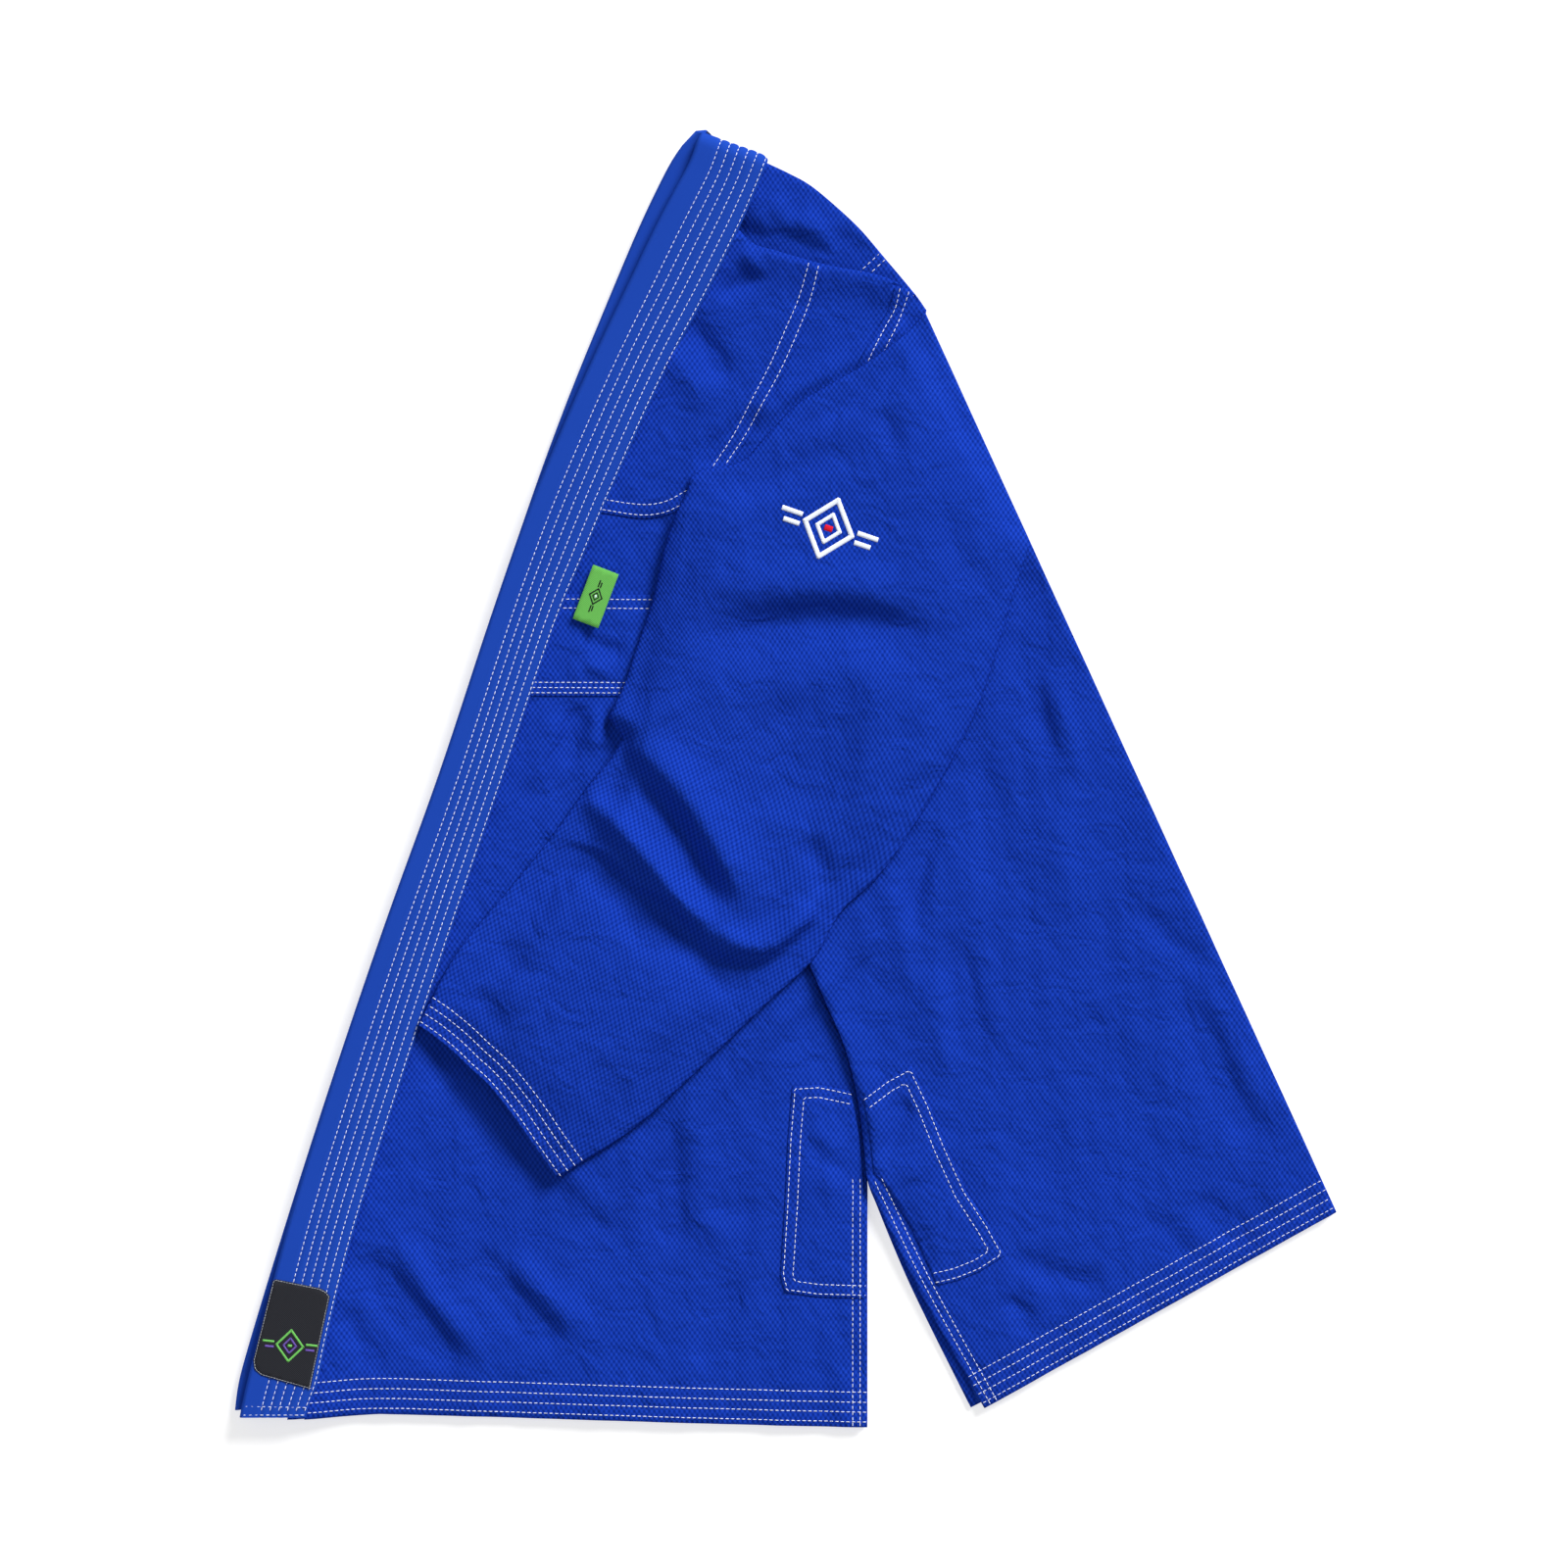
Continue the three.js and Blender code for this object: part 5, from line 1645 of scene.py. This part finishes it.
@dataclass
class Labels:
    """The patch at the collar's foot, the flag in its seam and the sleeve's embroidery."""

    pile: Pile
    sleeve: LeftSleeve
    collar: Collar

    def band_face(self, p: np.ndarray) -> np.ndarray:
        """Height of the collar's upper face."""
        return np.full(len(p), self.collar.near_middle + self.collar.thickness / 2)

    def tab_face(self, p: np.ndarray) -> np.ndarray:
        """Middle height of the green flag: level at its seam, drooping at its free edge."""
        seam = np.array([(-129.0, 140.9), (-142.7, 104.9)])
        return 18.3 - 1.5 * smoothstep(nearest(p, seam)[0] / 18)

    def build(self, stitches: Tree) -> None:
        """Makes the three of them."""
        black = Outline.of(LABEL)
        made = Cloth("lapel_label_cloth", black, BLACK, 0.9, 3.0).lay(lambda p: self.band_face(p) + 0.55)
        settle(made, "jacket", BLACK, ("lapel_label",), black)
        edging = Sewing("lapel_label_edging", "jacket", 1.9, (1.0, 0.2, 0.16))
        rim = resampled(offset(black.closed(), 0.5), 2.0)
        edging.rows.append(np.column_stack([rim, self._on_label(rim)]))
        edging.make(stitches, SILVER)
        self._motif("lapel_mark", "jacket", (-333, -384), (18, 11), -6, 1.6, self._on_label, coloured=True)
        green = Outline.of_faces("tab_label", 1.0)
        made = Cloth("tab_label_cloth", green, GREEN, 0.9, 3.0).lay(self.tab_face)
        settle(made, "tab", GREEN, ("tab_label",), green)
        self._motif("tab_mark", "tab", (-127.4, 119.7), (11, 4.6), 69, 1.0, self._on_tab, dark=True)
        self._motif("sleeve_embroidery", "left_sleeve", (29, 165), (33, 21), -19, 3.6, self._on_sleeve)

    def _on_label(self, p: np.ndarray) -> np.ndarray:
        """The black patch's face."""
        return self.band_face(p) + 1.0

    def _on_tab(self, p: np.ndarray) -> np.ndarray:
        """The green flag's face."""
        return self.tab_face(p) + 0.45

    def _on_sleeve(self, p: np.ndarray) -> np.ndarray:
        """The upper sleeve's face."""
        return self.sleeve.top(p)

    def _motif(
        self,
        name: str,
        body: str,
        centre: tuple[float, float],
        half: tuple[float, float],
        degrees: float,
        width: float,
        face: Height,
        coloured: bool = False,
        dark: bool = False,
    ) -> None:
        """Embroiders the plain motif on a face.

        Args:
            name: Start of the pieces' names.
            body: The CAD body it rides on.
            centre: Its middle.
            half: Half its width and height.
            degrees: How far it is turned.
            width: Width of its lines.
            face: Height of the face.
            coloured: Whether its lines are green and violet.
            dark: Whether its lines are dark.
        """
        groups: dict[str, tuple[Finish, list, list]] = {}
        for i, stroke in enumerate(MOTIF):
            finish = stroke.finish
            if coloured:
                finish = (LIME, VIOLET)[i % 2]
            if dark:
                finish = WHITE if finish is RED else DARK
            line = turned(np.array(stroke.line) * half, degrees) + centre
            vertices, faces = ribbon(line, width * stroke.width, face)
            group = groups.setdefault(finish.name, (finish, [], []))
            first = len(group[1])
            group[1].extend(vertices)
            group[2].extend(tuple(v + first for v in f) for f in faces)
        for key, (finish, vertices, faces) in groups.items():
            made = made_object(f"{name}_{key}", np.array(vertices), faces, finish)
            nodes = ("sleeve_emblem",) if name == "sleeve_embroidery" and finish is WHITE else ()
            settle(made, body, finish, nodes)


def ribbon(line: np.ndarray, width: float, face: Height) -> tuple[list, list]:
    """A domed bar of satin stitch along a line.

    Args:
        line: Its corners.
        width: How wide it is.
        face: Height of what it is sewn to.

    Returns:
        Vertices and faces of closed pieces, one for each straight part.
    """
    vertices: list = []
    faces: list = []
    section = [(-0.5, -0.12), (-0.46, 0.1), (-0.2, 0.26), (0.2, 0.26), (0.46, 0.1), (0.5, -0.12)]
    for a, b in zip(line[:-1], line[1:]):
        run = (b - a) / np.hypot(*(b - a))
        side = np.array([-run[1], run[0]])
        stations = resampled(np.array([a - run * width * 0.3, b + run * width * 0.3]), 0.9)
        first = len(vertices)
        base = face(stations)
        for j, (at, z) in enumerate(zip(stations, base)):
            pull = 1.0 if j % 2 else 0.93
            for s, h in section:
                x, y = at + side * s * width * pull
                vertices.append((x, y, z + h * min(width, 2.6)))
        n = len(section)
        for j in range(len(stations) - 1):
            for i in range(n):
                p, q = first + j * n + i, first + j * n + (i + 1) % n
                faces.append((p, p + n, q + n, q))
        last = first + (len(stations) - 1) * n
        faces.append(tuple(first + i for i in range(n)))
        faces.append(tuple(last + i for i in reversed(range(n))))
    return vertices, faces


# ---- studio ----
@dataclass
class Studio:
    """A white table, a camera straight above it and soft light from one side."""

    view_width: float = 1056.0
    view_centre: tuple[float, float] = (-0.8, -6.4)
    camera_height: float = 3400.0
    key: float = 4.2
    ambient: float = 0.3
    table_glow: float = 0.6

    def build(self) -> None:
        """Makes the floor, the lights and the camera."""
        bpy.ops.mesh.primitive_plane_add(size=14, location=(0, 0, -0.0003))
        floor = bpy.context.object
        floor.name = "table_top"
        paint = bpy.data.materials.new("table_white")
        set_inputs(
            principled(paint),
            Base_Color=(0.55, 0.55, 0.55, 1),
            Emission_Color=(1.0, 1.0, 1.0, 1),
            Emission_Strength=self.table_glow,
            Roughness=0.9,
            Specular_IOR_Level=0.1,
        )
        floor.data.materials.append(paint)
        world = bpy.data.worlds.new("soft_room")
        world.use_nodes = True
        set_inputs(world.node_tree.nodes["Background"], Color=(1.0, 1.0, 1.0, 1), Strength=self.ambient)
        bpy.context.scene.world = world
        self._sun("key", (0.75, 1.0, 0.78), 24, self.key)
        self._sun("fill", (-1.0, -0.2, 1.4), 60, self.key * 0.12)
        lens = bpy.data.cameras.new("camera")
        lens.sensor_width = 36
        lens.lens = 36 * (self.camera_height - 12) / self.view_width
        lens.clip_end = 50
        camera = linked("camera", lens)
        camera.location = Vector((*self.view_centre, self.camera_height)) * METRE
        bpy.context.scene.camera = camera
        bpy.context.scene.view_settings.view_transform = "Standard"

    @staticmethod
    def _sun(name: str, place: tuple[float, float, float], degrees: float, strength: float) -> None:
        """Adds a wide, even light that comes from a direction."""
        data = bpy.data.lights.new(name, "SUN")
        data.angle = math.radians(degrees)
        data.energy = strength
        lamp = linked(name, data)
        lamp.location = place
        lamp.rotation_euler = (-Vector(place)).to_track_quat("-Z", "Y").to_euler()


def main() -> None:
    """Builds the jacket's looks in order, from the lowest layer up."""
    logging.basicConfig(level=logging.INFO, format="%(message)s")
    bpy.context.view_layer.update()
    collar = Collar()
    pile = Pile(
        near_band=collar.leg(True)[0],
        far_band=collar.leg(False)[0],
        near_sleeve=Outline.of(SLEEVE_EDGE, 34),
        far_sleeve=Outline.of_faces("right_sleeve_upper", 1.0),
    )
    stitches = stitch_tree()
    band_rows = Sewing("collar_stitches", "jacket")
    cuff_rows = Sewing("cuff_stitches", "left_sleeve")
    RightSleeve(pile).build()
    for side in (Side.RIGHT, Side.LEFT):
        half = Half(side, pile)
        half.build()
        rows = Sewing(f"{side.value}_half_stitches", "jacket")
        half.sew(rows)
        rows.make(stitches)
    collar.build(sweep_tree())
    collar.sew(band_rows)
    sleeve = LeftSleeve(pile)
    sleeve.build()
    sleeve.sew(cuff_rows)
    band_rows.make(stitches)
    cuff_rows.make(stitches)
    Labels(pile, sleeve, collar).build(stitches)
    Studio().build()


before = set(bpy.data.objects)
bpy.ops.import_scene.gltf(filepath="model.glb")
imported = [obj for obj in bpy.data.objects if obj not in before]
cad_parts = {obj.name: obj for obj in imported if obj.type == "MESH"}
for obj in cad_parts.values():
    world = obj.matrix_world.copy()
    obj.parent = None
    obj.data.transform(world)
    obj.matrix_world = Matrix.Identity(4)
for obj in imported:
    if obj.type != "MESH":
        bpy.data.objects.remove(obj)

if __name__ == "__main__":
    main()
